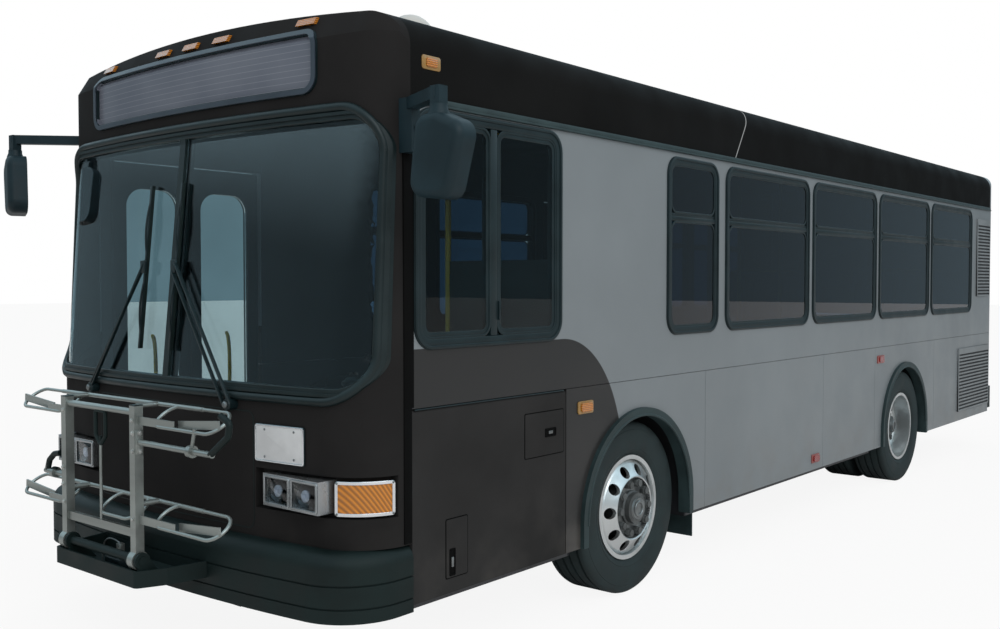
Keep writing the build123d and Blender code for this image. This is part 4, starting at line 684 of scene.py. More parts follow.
# %% Shapes that return
ORIGIN = (0.0, 0.0, 0.0)
TINY = 0.00002
FACING = {
    "front": Matrix(((0, 0, 1), (1, 0, 0), (0, 1, 0))),
    "left": Matrix(((-1, 0, 0), (0, 0, 1), (0, 1, 0))),
    "right": Matrix(((1, 0, 0), (0, 0, -1), (0, 1, 0))),
    "rear": Matrix(((0, 0, -1), (-1, 0, 0), (0, 1, 0))),
    "up": Matrix.Identity(3),
}
TURNS = {"left": 0.0, "front": -math.pi / 2.0, "rear": math.pi / 2.0, "right": math.pi}


def block(low, high, edge, segments=2, name="block"):
    """Box with soft edges between two corners."""
    clear()
    middle = [(a + b) / 2.0 for a, b in zip(low, high)]
    size = [b - a for a, b in zip(low, high)]
    bpy.ops.mesh.primitive_cube_add(size=1.0, location=middle, scale=size)
    return rounded(started(name), edge, segments)


def settled(made, side, centre):
    """Stand a shape drawn in the XY plane on one side of the bus."""
    made.matrix_world = Matrix.Translation(centre) @ FACING[side].to_4x4()
    hold(made)
    bpy.ops.object.transform_apply(location=True, rotation=True, scale=True)
    return made


def outlined(size, corner, rim, steps):
    """Flat sheet in the XY plane with round corners, or only its rim."""
    clear()
    bpy.ops.mesh.primitive_plane_add(size=1.0)
    bpy.context.object.scale = (size[0], size[1], 1.0)
    made = started("outline")
    edit(made)
    bpy.ops.mesh.bevel(offset=corner, segments=steps, affect="VERTICES")
    if rim > 0.0:
        bpy.ops.mesh.select_all(action="SELECT")
        bpy.ops.mesh.inset(thickness=rim)
        bpy.ops.mesh.delete(type="FACE")
    bpy.ops.object.mode_set(mode="OBJECT")
    return made


def plate(side, centre, size, corner, thick, edge=0.0015, rim=0.0, steps=6):
    """Rounded plate or rim that stands out from its centre on one side of the bus."""
    made = outlined(size, corner, rim, steps)
    applied(made, "SOLIDIFY", thickness=thick, offset=1.0)
    return settled(rounded(made, edge), side, centre)


def turned(outline, centre, steps, name="turned"):
    """Turn a closed outline of (radius, y) points about the axle through a centre."""
    clear()
    bpy.ops.mesh.primitive_circle_add(vertices=len(outline), radius=0.1)
    made = started(name)
    for vertex, (radius, y) in zip(made.data.vertices, outline):
        vertex.co = (centre[0], centre[1] + y, centre[2] + radius)
    edit(made)
    bpy.ops.mesh.spin(steps=steps, angle=math.tau, center=centre, axis=(0.0, 1.0, 0.0))
    bpy.ops.mesh.select_all(action="SELECT")
    bpy.ops.mesh.remove_doubles(threshold=TINY)
    bpy.ops.mesh.normals_make_consistent(inside=False)
    bpy.ops.object.mode_set(mode="OBJECT")
    hold(made)
    bpy.ops.object.shade_smooth_by_angle(angle=math.radians(32.0))
    return made


def turned_on(outline, side, centre, steps=32):
    """Turned shape that stands out from a centre on one side of the bus."""
    made = turned(outline, ORIGIN, steps)
    made.data.transform(Matrix.Translation(centre) @ Matrix.Rotation(TURNS[side], 4, "Z"))
    return made


def tube(points, radius, name="tube"):
    """Round bar along points, with its corners bent."""
    line = bpy.data.curves.new(name, "CURVE")
    line.dimensions = "3D"
    line.bevel_depth = radius
    line.bevel_resolution = 3
    line.use_fill_caps = True
    spline = line.splines.new("NURBS")
    spline.points.add(len(points) - 1)
    for knot, place in zip(spline.points, points):
        knot.co = (*place, 1.0)
    spline.order_u = 3
    spline.use_endpoint_u = True
    made = bpy.data.objects.new(name, line)
    scene.collection.objects.link(made)
    hold(made)
    bpy.ops.object.convert(target="MESH")
    bpy.ops.object.shade_smooth_by_angle(angle=SMOOTH)
    return bpy.context.object


def bar(start, end, width, thick):
    """Flat bar between two points; its thickness lies towards X as nearly as it can."""
    clear()
    start, end = Vector(start), Vector(end)
    along = end - start
    turn = along.to_track_quat("Z", "X").to_euler()
    bpy.ops.mesh.primitive_cube_add(size=1.0, location=(start + end) / 2.0, rotation=turn)
    bpy.context.object.scale = (thick, width, along.length)
    return rounded(started("bar"), 0.001)


print("shapes ready")

# %% [markdown]
# A bus tyre is a turned shape, so half of its outline is drawn once: bead, side wall with its raised
# rings, shoulder, and a tread with four grooves. The outline is mirrored, closed through the hollow
# inside, and spun about the axle. The whole skin is then doubled, with a second one a little deeper.

# %% Tyres
AXLE_Z = 0.490
FRONT_X = at(1.840)
REAR_X = at(6.250)
FRONT_Y = 1.095
REAR_Y = (1.130, 0.800)
TREAD_R = 0.490
GROOVE_R = 0.477
GROOVES = (0.089, 0.027)
GROOVE_HALF = 0.008
GROOVE_FLANK = 0.002
TYRE_STEPS = 144
SKIN_DEPTH = 0.006
SIDE_WALL = (
    (0.2868, 0.1155), (0.299, 0.116), (0.308, 0.126), (0.330, 0.139), (0.336, 0.1405), (0.339, 0.1390),
    (0.360, 0.1437), (0.388, 0.145), (0.420, 0.144), (0.444, 0.1410), (0.447, 0.1385), (0.455, 0.1378),
    (0.470, 0.1335), (0.4815, 0.128), (0.4875, 0.1205), (TREAD_R, 0.112),
)
HOLLOW = (
    (0.2868, 0.098), (0.310, 0.108), (0.345, 0.124), (0.400, 0.131), (0.446, 0.121), (0.465, 0.100),
)


def tyre(centre):
    """Tyre about an axle, with grooves round the tread and a doubled skin."""
    half = list(SIDE_WALL)
    for middle in GROOVES:
        lip, foot = middle + GROOVE_HALF, middle - GROOVE_HALF
        half += [(TREAD_R, lip), (GROOVE_R, lip - GROOVE_FLANK)]
        half += [(GROOVE_R, foot + GROOVE_FLANK), (TREAD_R, foot)]
    outline = half + [(r, -y) for r, y in reversed(half)]
    outline += [(r, -y) for r, y in HOLLOW] + list(reversed(HOLLOW))
    made = turned(outline, centre, TYRE_STEPS)
    deeper = {"value": -SKIN_DEPTH}
    edit(made, bpy.ops.mesh.extrude_region_shrink_fatten, TRANSFORM_OT_shrink_fatten=deeper)
    return made


for side, sign in (("left", 1.0), ("right", -1.0)):
    add("tyre", tyre((FRONT_X, sign * FRONT_Y, AXLE_Z)))
    name = "front_tyre_" + side
    piece(name + "_tread", side + "_front_wheel", [name])
    for y in REAR_Y:
        add("tyre", tyre((REAR_X, sign * y, AXLE_Z)))
    name = "rear_tyres_" + side
    piece(name + "_tread", side + "_rear_wheel", [name])

# %% [markdown]
# The wheels' own shapes are right, so they stay. Their polish ends at the round face where the wheel
# is bolted on: inside it the metal is dull, and the hub and its nuts are dark. Faces are sorted by how
# far they lie from the axle.

# %% Wheel finishes
LUG_CIRCLE = 0.143
LUG_R = 0.0195
LUGS = 10
SEAT_R = 0.172
HUB_R = 0.100
CAP_R = 0.066
AXLES = (("front", FRONT_X, 1.235, 0.0575), ("rear", REAR_X, 1.094, 0.111))


def lug_places(x):
    """Middles of the lug nuts round an axle, as X and Z."""
    turns = [math.tau * index / LUGS for index in range(LUGS)]
    return [(x + LUG_CIRCLE * math.cos(turn), AXLE_Z + LUG_CIRCLE * math.sin(turn)) for turn in turns]


def wheel_finishes(name, x, seat):
    """Dull seat, dark hub and nuts, and dark inner side of one wheel."""
    lugs = lug_places(x)

    def from_axle(p):
        return math.hypot(p.x - x, p.z - AXLE_Z)

    def on_lug(p):
        near = min(math.hypot(p.x - u, p.z - v) for u, v in lugs)
        return near < LUG_R and abs(p.y) > seat + 0.002

    second_finish(name, "steel", lambda p: from_axle(p) < SEAT_R and abs(p.y) > seat - 0.03)
    second_finish(name, "hub", lambda p: on_lug(p) or CAP_R < from_axle(p) < HUB_R)
    second_finish(name, "chassis", lambda p: abs(p.y) < seat - 0.06)


for axle, x, seat, _ in AXLES:
    for side in ("left", "right"):
        wheel_finishes(axle + "_wheel_" + side, x, seat)

# %% [markdown]
# A lug nut is a hexagon with a smaller raised end. One is made at the top of the ring, by insetting
# and extruding the end of a six-sided cylinder, and copies turned about the axle make the ring. A
# turned ring finishes the hub's cap.

# %% Lug nuts and hub caps
NUT_R = 0.0245
NUT_HEIGHT = 0.028
NUT_INSET = 0.004
NUT_END = (0.0, 0.003, 0.0)
CAP_RING = (
    (0.030, 0.000), (0.030, 0.005), (0.033, 0.008), (0.045, 0.008), (0.048, 0.005), (0.048, 0.000),
)


def lug_nuts(x, seat, reach):
    clear()
    quarter = math.pi / 2.0
    bpy.ops.mesh.primitive_cylinder_add(
        vertices=6, radius=NUT_R, depth=NUT_HEIGHT, rotation=(quarter, 0.0, 0.0),
        location=(x, seat + NUT_HEIGHT / 2.0, AXLE_Z + LUG_CIRCLE),
    )
    first = started("first_nut")
    edit(first, bpy.ops.mesh.select_all, action="DESELECT")
    for face in first.data.polygons:
        face.select = face.normal.y > 0.9
    bpy.ops.object.mode_set(mode="EDIT")
    bpy.ops.mesh.inset(thickness=NUT_INSET)
    bpy.ops.mesh.extrude_region_move(TRANSFORM_OT_translate={"value": NUT_END})
    bpy.ops.object.mode_set(mode="OBJECT")
    rounded(first, 0.0012)
    axle = Matrix.Translation((x, 0.0, AXLE_Z))
    for u, v in lug_places(x):
        turn = quarter - math.atan2(v - AXLE_Z, u - x)
        add("hub", copied(first, "nut", axle @ Matrix.Rotation(turn, 4, "Y") @ axle.inverted()))
    bpy.data.objects.remove(first)
    add("steel", turned(CAP_RING, (x, seat + reach, AXLE_Z), 48))


for axle, x, seat, reach in AXLES:
    lug_nuts(x, seat, reach)
    both(axle + "_lug_nuts", "_" + axle + "_wheel")

# %% [markdown]
# Each side window is a black frame clamped in the wall, with a round bead outside, a thinner bead that
# holds the glass, and a bar across where the upper part tips in. The driver's window has an upright
# bar instead, because its panes slide. One rim is drawn for each frame, so that the corners stay round
# all the way through the wall.

# %% Side window frames
WALL_Y = 1.295
INSIDE_Y = 1.240
FACE_Y = WALL_Y + 0.006
FRAME = 0.048
FRAME_DEPTH = 0.063
BEAD = 0.017
BAR_HALF = 0.024
WINDOW_SPAN = (1.465, 2.523)
TRANSOM_Z = 2.165
CORNER = 0.110
PANE_CORNER = CORNER - FRAME
WIDE = (2.848, 1.297)
WIDE_PITCH = 1.363
NARROW = (2.126, 0.624)
DRIVER = (0.015, 1.070)
DRIVER_SPAN = (1.480, 2.540)
PULL_SPAN = (1.60, 1.69)
REAR_DOOR = (4.250, 5.450)


def wall_rim(front, breadth, span, corner, rim, start, thick, edge, grow=0.0):
    """Rim on the driver's side from a station rearwards, grown all round, that starts at a depth."""
    centre = (at(front + breadth / 2.0), start, sum(span) / 2.0)
    size = (breadth + 2.0 * grow, span[1] - span[0] + 2.0 * grow)
    return plate("left", centre, size, corner + grow, thick, edge, rim, 10)


def window_frame(front, breadth, span, slides):
    """Frame, outer bead, glass beads and the bars of one window, on the driver's side."""
    shapes = [
        wall_rim(front, breadth, span, CORNER, FRAME, INSIDE_Y, FRAME_DEPTH, 0.004),
        wall_rim(front, breadth, span, CORNER, BEAD, FACE_Y, 0.008, 0.0045, -0.003),
    ]
    left, right = at(front + FRAME), at(front + breadth - FRAME)
    low, high = span[0] + FRAME, span[1] - FRAME
    if slides:
        middle = (left + right) / 2.0
        shapes.append(block((middle - BAR_HALF, INSIDE_Y, low), (middle + BAR_HALF, FACE_Y, high), 0.005))
        half = breadth / 2.0 - FRAME - BAR_HALF
        starts = (front + FRAME, front + breadth / 2.0 + BAR_HALF)
        openings = [(start, half, (low, high)) for start in starts]
        pull = at(front + breadth / 2.0 + 0.028)
        corner = (pull - 0.012, FACE_Y - 0.004, PULL_SPAN[0])
        shapes.append(block(corner, (pull, FACE_Y + 0.008, PULL_SPAN[1]), 0.003))
    else:
        bottom, top = TRANSOM_Z - BAR_HALF, TRANSOM_Z + BAR_HALF
        shapes.append(block((right, INSIDE_Y, bottom), (left, FACE_Y, top - 0.017), 0.005))
        shapes.append(block((right, INSIDE_Y, top - 0.019), (left, FACE_Y - 0.004, top), 0.004))
        width = breadth - 2.0 * FRAME
        openings = [(front + FRAME, width, (low, bottom)), (front + FRAME, width, (top, high))]
    for opening in openings:
        if slides:
            shapes.append(wall_rim(*opening, PANE_CORNER, 0.030, WALL_Y - 0.006, 0.007, 0.003))
        shapes.append(wall_rim(*opening, PANE_CORNER, 0.014, WALL_Y - 0.002, 0.007, 0.003, 0.004))
    return [painted(shape, "trim") for shape in shapes]


kit.extend(window_frame(*DRIVER, DRIVER_SPAN, True))
rows = [NARROW] + [(WIDE[0] + index * WIDE_PITCH, WIDE[1]) for index in range(4)]
for front, breadth in rows:
    made = window_frame(front, breadth, WINDOW_SPAN, False)
    if front > REAR_DOOR[1] or front + breadth < REAR_DOOR[0]:
        kit.extend([copied(shape, "curb_" + shape.name, MIRRORED) for shape in made])
    kit.extend(made)
piece("window_frame_set", "bus_body", ["window_frames"])

# %% [markdown]
# A rain gutter runs along both eaves, with a thin lip that catches the light. Both are long bars with
# soft edges, drawn once and mirrored for the curb side.

# %% Gutters
GUTTER_Z = 2.546
BODY_END = 8.905
for inner, outer, top, edge in ((-0.004, 0.012, 2.582, 0.005), (0.008, 0.018, 2.556, 0.003)):
    low = (at(BODY_END), WALL_Y + inner, GUTTER_Z)
    add("arch", block(low, (at(0.004), WALL_Y + outer, top), edge))
both("gutter")

# %% [markdown]
# The windshield sits in a fat rubber with a round lip, and the sign over it has one too. The mask is
# bowed and raked, so a rim is drawn flat ahead of the nose, divided finely, and projected back onto
# the frame's own rubber. A Solidify then gives it its thickness along the bowed surface.

# %% Rubber lips on the front
NOSE_AHEAD = at(-0.9)
SCREEN_MIDDLE = (0.0, 1.900)
SCREEN_SIZE = (2.558, 1.216)


def laid_rim(middle, size, corner, rim, target, thick, edge, cuts):
    """Rim projected from ahead onto a frame part of the nose."""
    made = settled(outlined(size, corner, rim, 12), "front", (NOSE_AHEAD, *middle))
    edit(made, bpy.ops.mesh.subdivide, number_cuts=cuts)
    applied(
        made, "SHRINKWRAP", target=nodes[target], wrap_method="PROJECT", wrap_mode="ABOVE_SURFACE",
        use_project_x=True, use_project_y=False, use_project_z=False,
        use_positive_direction=False, use_negative_direction=True,
    )
    applied(made, "SOLIDIFY", thickness=thick, offset=1.0)
    return rounded(made, edge)


lip = laid_rim(SCREEN_MIDDLE, SCREEN_SIZE, 0.168, 0.015, "windshield_rubber", 0.010, 0.0042, 12)
print("windshield lip", len(lip.data.polygons), "faces")

# %% [markdown]
# Outside the lip a round bead of the same rubber runs all the way round the windshield, and a thin
# inner lip follows the edge of the glass. A rim projected from ahead turns ragged where the nose
# falls away at its corners, so these two are tubes on a path that is worked out. That path follows
# the nose: bowed across the middle, then round the corners, whose radius shrinks with height.

# %% Windshield bead
NOSE_BOW = 7.500
RAKE_FOOT = 1.300
RAKE_RISE = 1.150
NOSE_APEX = (0.370, 0.115)
NOSE_CORNER = (0.270, 0.100)


def bow_x(apex, y):
    """Where a bowed face that reaches so far ahead at its middle lies at a width."""
    return at(-(apex - NOSE_BOW + math.sqrt(NOSE_BOW ** 2 - y ** 2)))


def nose_x(y, z):
    """Where the outer face of the nose lies at a width and height."""
    rake = min(max((z - RAKE_FOOT) / RAKE_RISE, 0.0), 1.0)
    apex = NOSE_APEX[0] - NOSE_APEX[1] * rake
    corner = NOSE_CORNER[0] - NOSE_CORNER[1] * rake
    corner_y = WALL_Y - corner
    reach = NOSE_BOW - corner
    if abs(y) <= NOSE_BOW * corner_y / reach:
        return bow_x(apex, y)
    corner_x = apex - NOSE_BOW + math.sqrt(reach ** 2 - corner_y ** 2)
    return at(-(corner_x + math.sqrt(max(corner ** 2 - (abs(y) - corner_y) ** 2, 0.0))))


def round_loop(middle, half, corner, steps):
    """Points round a rectangle with round corners, across and up."""
    points = []
    for turn, side, up in ((0.0, 1.0, 1.0), (90.0, -1.0, 1.0), (180.0, -1.0, -1.0), (270.0, 1.0, -1.0)):
        centre = (middle[0] + side * (half[0] - corner), middle[1] + up * (half[1] - corner))
        for step in range(steps + 1):
            angle = math.radians(turn + 90.0 * step / steps)
            points.append((centre[0] + corner * math.cos(angle), centre[1] + corner * math.sin(angle)))
    return points


def dense(points, gap):
    """The same loop, closed, with no two points further apart than the gap."""
    full = []
    for start, end in zip(points, points[1:] + points[:1]):
        count = max(1, math.ceil(math.dist(start, end) / gap))
        full += [tuple(a + (b - a) * share / count for a, b in zip(start, end)) for share in range(count)]
    return full + full[:1]


def nose_tube(half, corner, lift, radius):
    """Tube round the windshield on the face of the nose."""
    loop = dense(round_loop(SCREEN_MIDDLE, half, corner, 10), 0.06)
    return tube([(nose_x(y, z) + lift, y, z) for y, z in loop], radius)


bead = nose_tube((1.256, 0.630), 0.200, 0.004, 0.021)
add("gasket", lip)
add("gasket", nose_tube((1.249, 0.578), 0.138, 0.003, 0.006))
piece("windshield_lips")
add("gasket", bead)
piece("windshield_bead")
plain("sign_rim", "sign_rim", (0.022, 0.033, 0.048), 0.4, 0.15, 5.0, 300.0, 0.0002)
SIGN_MIDDLE = (0.0, 2.745)
SIGN_SIZE = (1.846, 0.286)
add("sign_rim", laid_rim(SIGN_MIDDLE, SIGN_SIZE, 0.078, 0.024, "destination_sign", 0.008, 0.0036, 12))
piece("sign_lip")

# %% [markdown]
# A pair of square lamps shares one bright housing. Behind each clear cover sits a dark box with a
# shallow bowl, a round eye and small prisms. Bowl and eye are turned like a wheel, then stood on the
# nose. A turned shape is drawn facing the driver's side, so a quarter turn about Z faces it forwards.

# %% Headlamps
LAMP_X = at(-0.349)
LAMP_BACK = LAMP_X - 0.0115
LAMP_SEAT = LAMP_BACK + 0.001
LENS_Z = 0.8675
LENS_Y = (0.814, 0.998)
LENS_SIZE = (0.160, 0.117)
RIM_SIZE = (LENS_SIZE[0] + 0.016, LENS_SIZE[1] + 0.016)
PRISM_SIZE = (0.026, 0.036)
BOWL = (
    (0.026, 0.001), (0.036, 0.003), (0.044, 0.0070), (0.047, 0.0080),
    (0.049, 0.0080), (0.049, 0.000), (0.026, 0.000),
)
LAMP_EYE = (
    (0.0004, 0.000), (0.023, 0.000), (0.025, 0.003), (0.021, 0.0055), (0.012, 0.0072), (0.0004, 0.0078),
)


def lamp_unit(y):
    add("dash", plate("front", (LAMP_BACK, y, LENS_Z), LENS_SIZE, 0.006, 0.001))
    add("dark_bowl", turned_on(BOWL, "front", (LAMP_SEAT, y, LENS_Z)))
    add("eye", turned_on(LAMP_EYE, "front", (LAMP_SEAT, y, LENS_Z)))
    for across in (-0.058, 0.058):
        for up in (0.028, -0.028):
            place = (LAMP_SEAT, y + across, LENS_Z + up)
            add("lamp_glass", plate("front", place, PRISM_SIZE, 0.004, 0.006, 0.0025))
    add("lamp_glass", plate("front", (LAMP_X - 0.003, y, LENS_Z), LENS_SIZE, 0.005, 0.002))
    add("bezel", plate("front", (LAMP_X - 0.001, y, LENS_Z), RIM_SIZE, 0.013, 0.005, 0.002, 0.0125))


plain("dark_bowl", "dark_bowl", (0.05, 0.055, 0.06), 0.15, 0.1, 9.0, 300.0, 0.0001, metal=0.9)
plain("eye", "lamp_eye", (0.46, 0.50, 0.60), 0.12, 0.1, 20.0, 300.0, 0.0001, coat=0.8)
plain("bezel", "lamp_bezel", (0.36, 0.38, 0.39), 0.26, 0.12, 8.0, 300.0, 0.0002, metal=0.85)
nodes["headlamps"].data.materials[0] = finishes["bezel"]
for y in LENS_Y:
    lamp_unit(y)
both("headlamp_units")

# %% [markdown]
# The turn signals bend round the corner of the mask. Their bright frame is drawn flat, divided, and
# then rolled onto the corner's cylinder, each point by its own angle, before it gets its thickness.
# Screw heads hold the frame at its four corners.

# %% Turn signal frames
CORNER_AXIS = (at(-0.027), 1.025)
LENS_R = 0.258
SIGNAL_TURN = (math.radians(19.0), math.radians(77.6))
SIGNAL_Z = 0.861
SIGNAL_HEIGHT = 0.150
SCREW_IN = math.radians(2.2)
SCREW_UP = 0.066
SCREW = ((0.0004, 0.000), (0.0055, 0.000), (0.0055, 0.0015), (0.0035, 0.003), (0.0004, 0.0034))


def on_corner(turn, reach, z):
    """Place on the mask's corner at a turn, so far from the corner's axis."""
    return (CORNER_AXIS[0] + reach * math.cos(turn), CORNER_AXIS[1] + reach * math.sin(turn), z)


def signal_frame():
    """Bright frame of the driver's side signal, rolled onto the corner."""
    made = outlined(((SIGNAL_TURN[1] - SIGNAL_TURN[0]) * LENS_R, SIGNAL_HEIGHT), 0.016, 0.0145, 5)
    edit(made, bpy.ops.mesh.subdivide, number_cuts=7)
    radius = LENS_R - 0.001
    for vertex in made.data.vertices:
        turn = sum(SIGNAL_TURN) / 2.0 + vertex.co.x / radius
        vertex.co = on_corner(turn, radius + vertex.co.z, SIGNAL_Z + vertex.co.y)
    applied(made, "SOLIDIFY", thickness=0.006, offset=1.0)
    edit(made, bpy.ops.mesh.normals_make_consistent, inside=False)
    return rounded(made, 0.0018)


add("chrome", signal_frame())
for turn in (SIGNAL_TURN[0] + SCREW_IN, SIGNAL_TURN[1] - SCREW_IN):
    for z in (SIGNAL_Z - SCREW_UP, SIGNAL_Z + SCREW_UP):
        screw = turned(SCREW, ORIGIN, 16)
        place = Matrix.Translation(on_corner(turn, LENS_R + 0.004, z))
        screw.data.transform(place @ Matrix.Rotation(turn - math.pi / 2.0, 4, "Z"))
        add("steel", screw)
both("signal_frame")

# %% [markdown]
# Small marker lamps sit in shallow bases: amber ahead and red behind on both sides, one red one low
# on the driver's side, and an amber one at the front of the roof band. A base is one rounded plate
# with soft edges, a little larger than its lens. The roof band's lens is a second plate on its base.

# %% Marker lamp bases
plain("amber_base", "amber_base", (0.30, 0.17, 0.045), 0.3, 0.15, 20.0, 300.0, 0.0002, coat=0.4)
plain("red_base", "red_base", (0.26, 0.055, 0.045), 0.3, 0.15, 20.0, 300.0, 0.0002, coat=0.4)
BASE_Y = WALL_Y - 0.001
MARKERS = (("amber", 1.300, 1.120, 0.138), ("red", 5.645, 1.125, 0.160))
for colour, station, z, width in MARKERS:
    add(colour + "_base", plate("left", (at(station), BASE_Y, z), (width, 0.068), 0.012, 0.009, 0.003))
    both(colour + "_base")
add("red_base", plate("left", (at(4.297), BASE_Y, 0.459), (0.140, 0.066), 0.012, 0.009, 0.003))
piece("low_marker_base")
BAND = (at(0.128), 2.734)
add("amber_base", plate("left", (BAND[0], 1.283, BAND[1]), (0.118, 0.062), 0.012, 0.016, 0.004))
add("amber", plate("left", (BAND[0], 1.296, BAND[1]), (0.070, 0.040), 0.010, 0.009, 0.003))
both("band_marker")

# %% [markdown]
# The number plate is left bare, in a thin bright rim on a black holder, held by four bolts. The mask is
# bowed, so the plate leans with the surface at its middle: it is drawn facing straight ahead at the
# origin and then turned and moved onto the mask.

# %% Bare number plate
PLATE_Y = 0.815
PLATE_LEAN = math.asin(PLATE_Y / NOSE_BOW)
PLATE_PLACE = (at(-0.3275), PLATE_Y, 1.070)
PLATE_SIZE = (0.286, 0.156)
plain("gap", "dark_gap", (0.004, 0.004, 0.004), 0.8, 0.1, 9.0, 200.0, 0.0001, sheen=0.05)
plain("plate_white", "plate_white", (0.62, 0.64, 0.65), 0.35, 0.05, 12.0, 300.0, 0.0001)
add("trim", plate("front", ORIGIN, (0.300, 0.170), 0.010, 0.005))
add("plate_white", plate("front", (0.005, 0.0, 0.0), PLATE_SIZE, 0.010, 0.0015, 0.0006))
add("chrome", plate("front", (0.004, 0.0, 0.0), (0.296, 0.166), 0.012, 0.005, 0.0018, 0.008))
for y in (-0.0889, 0.0889):
    for z in (-0.0603, 0.0603):
        add("steel", turned_on(SCREW, "front", (0.0064, y, z), 16))
for shape in kit:
    shape.data.transform(Matrix.Translation(PLATE_PLACE) @ Matrix.Rotation(PLATE_LEAN, 4, "Z"))
piece("number_plate")

# %% [markdown]
# A wiper here has two parallel arms, so that its blade stays upright as it sweeps. Each arm is a flat
# bar; the blade is a backbone with two bridges over a thin rubber lip. The nose's own curve gives the
# distance of every point from the glass.

# %% Wipers
PIVOT_Z = 1.228
BLADE_SPAN = (1.450, 2.260)
BLADE_Z = sum(BLADE_SPAN) / 2.0
BOSS = ((0.0004, -0.075), (0.026, -0.075), (0.027, 0.002), (0.023, 0.008), (0.0004, 0.009))
CAP = ((0.0004, 0.008), (0.015, 0.008), (0.015, 0.015), (0.010, 0.019), (0.0004, 0.020))
CARRIER = Vector((0.006, 0.020, 0.032))
CARRIER_BACK = 0.012
LIFT = Vector((0.012, 0.0, 0.0))


def wiper(pivot_y, blade_y):
    pivot = Vector((nose_x(pivot_y, PIVOT_Z) + 0.040, pivot_y, PIVOT_Z))
    middle = Vector((nose_x(blade_y, BLADE_Z) + 0.034, blade_y, BLADE_Z))
    add("trim", turned_on(BOSS, "front", pivot))
    add("steel", turned_on(CAP, "front", pivot))
    for side in (-1.0, 1.0):
        start = pivot + Vector((0.0, side * 0.020, 0.012 * side))
        end = middle + Vector((0.0, side * 0.011, 0.020 * side))
        add("trim", bar(start, end, 0.017, 0.008))
    foot = (middle.x - CARRIER_BACK, blade_y - CARRIER.y, BLADE_Z - CARRIER.z)
    add("trim", block(foot, middle + CARRIER, 0.005))
    low, high = [Vector((nose_x(blade_y, z) + 0.022, blade_y, z)) for z in BLADE_SPAN]
    add("trim", bar(low, high, 0.013, 0.005))
    add("rubber", bar(low - LIFT, high - LIFT, 0.006, 0.018))
    half = (high - low) * 0.15
    for share in (0.26, 0.74):
        centre = low.lerp(high, share)
        bridge = [centre - half, centre - half * 0.5 + LIFT, centre + half * 0.5 + LIFT, centre + half]
        add("trim", tube(bridge, 0.005))


wiper(0.520, 0.040)
wiper(-0.690, -0.230)
piece("wiper_set", "bus_body", ["wipers"])

# %% [markdown]
# A flat seal covers the joint between the mask and the side walls, and a thin seam outlines the panel
# that opens on the front. The seal stops short of the flap below the driver's window, so that the flap
# can still lift.

# %% Corner seals and front panel seam
SEAL_Y = (1.288, 1.3000)
for station, low, high in ((0.014, 1.236, 2.545), (0.001, 0.650, 1.238)):
    add("gap", block((at(station), SEAL_Y[0], low), (at(-0.046), SEAL_Y[1], high), 0.003))
both("corner_seal")
add("rubber", laid_rim((0.0, 0.940), (1.300, 0.530), 0.040, 0.0045, "front_mask", 0.0015, 0.0006, 8))
piece("front_panel_seam")

# %% [markdown]
# A few bolt heads hold the bumper's rubber. They follow the bumper's own bow, which is the nose's a
# little further ahead.

# %% Bumper bolts
BUMPER_APEX = 0.405
BOLT_PLACES = ((0.550, 0.572), (0.950, 0.572), (0.300, 0.440), (0.750, 0.418))
for across, z in BOLT_PLACES:
    for y in (-across, across):
        add("steel", turned_on(SCREW, "front", (bow_x(BUMPER_APEX, y) - 0.0008, y, z), 16))
piece("bumper_bolts")

# %% [markdown]
# The flap below the driver's window carries two small doors of its own, each with a latch set in a
# shallow cup, and hangs from a piano hinge. All of it rides the flap. A thin dark rim under a door
# draws the gap round it; the leaf of the door stands a little prouder.

# %% Doors on the service flap
FLAP_DOORS = (
    ((0.790, 1.104), (0.911, 1.128), (0.994, 1.022), (0.092, 0.044)),
    ((0.220, 0.362), (0.445, 0.709), (0.258, 0.514), (0.040, 0.124)),
)
KNUCKLES = 18
KNUCKLE = 0.060
HINGE = (WALL_Y + 0.0005, 1.2235)


def flap_door(span, height, latch, cup):
    centre = (at(sum(span) / 2.0), WALL_Y, sum(height) / 2.0)
    size = (span[1] - span[0], height[1] - height[0])
    place = (at(latch[0]), WALL_Y + 0.003, latch[1])
    add("gap", plate("left", centre, (size[0] + 0.010, size[1] + 0.010), 0.010, 0.0008, 0.0003, 0.006))
    add("flap_paint", plate("left", centre, size, 0.008, 0.003, 0.0012))
    add("gap", plate("left", place, cup, 0.006, 0.003, 0.001, 0.007))
    add("gap", plate("left", place, (cup[0] - 0.010, cup[1] - 0.010), 0.004, 0.001))
    add("steel", plate("left", place, (cup[0] * 0.36, cup[1] * 0.36), 0.003, 0.004))


for door in FLAP_DOORS:
    flap_door(*door)
for count in range(KNUCKLES):
    start = 0.020 + count * (KNUCKLE + 0.0005)
    add("trim", tube([(at(start), *HINGE), (at(start + KNUCKLE), *HINGE)], 0.0035))
piece("service_flap_doors", "service_flap")

# %% [markdown]
# Round each wheel arch the rubber trim turns into a rolled lip. The lip is a bent tube laid along the
# inner edge of the trim. The grilles get near-black floors between their slats by a second finish on
# the same part: painted shade between the slats.

# %% Arch lips and grille gaps
ARCH_R = 0.537
ARCH_Y = WALL_Y + 0.020
GRILLE_FLOOR_Y = 1.300
turns = [math.radians(degrees) for degrees in range(0, 181, 6)]
for axle, x in (("front", FRONT_X), ("rear", REAR_X)):
    points = [(x + ARCH_R * math.cos(turn), ARCH_Y, AXLE_Z + ARCH_R * math.sin(turn)) for turn in turns]
    add("arch", tube(points, 0.0085))
    both(axle + "_arch_lip")
plain("grille", "grille_paint", (0.185, 0.205, 0.215), 0.45, 0.15, 8.0, 300.0, 0.0002)
nodes["grilles"].data.materials[0] = finishes["grille"]
# Painted shade: the floors between the slats take the near-black chassis finish.
second_finish("grilles", "chassis", lambda p: abs(abs(p.y) - GRILLE_FLOOR_Y) < 0.004)

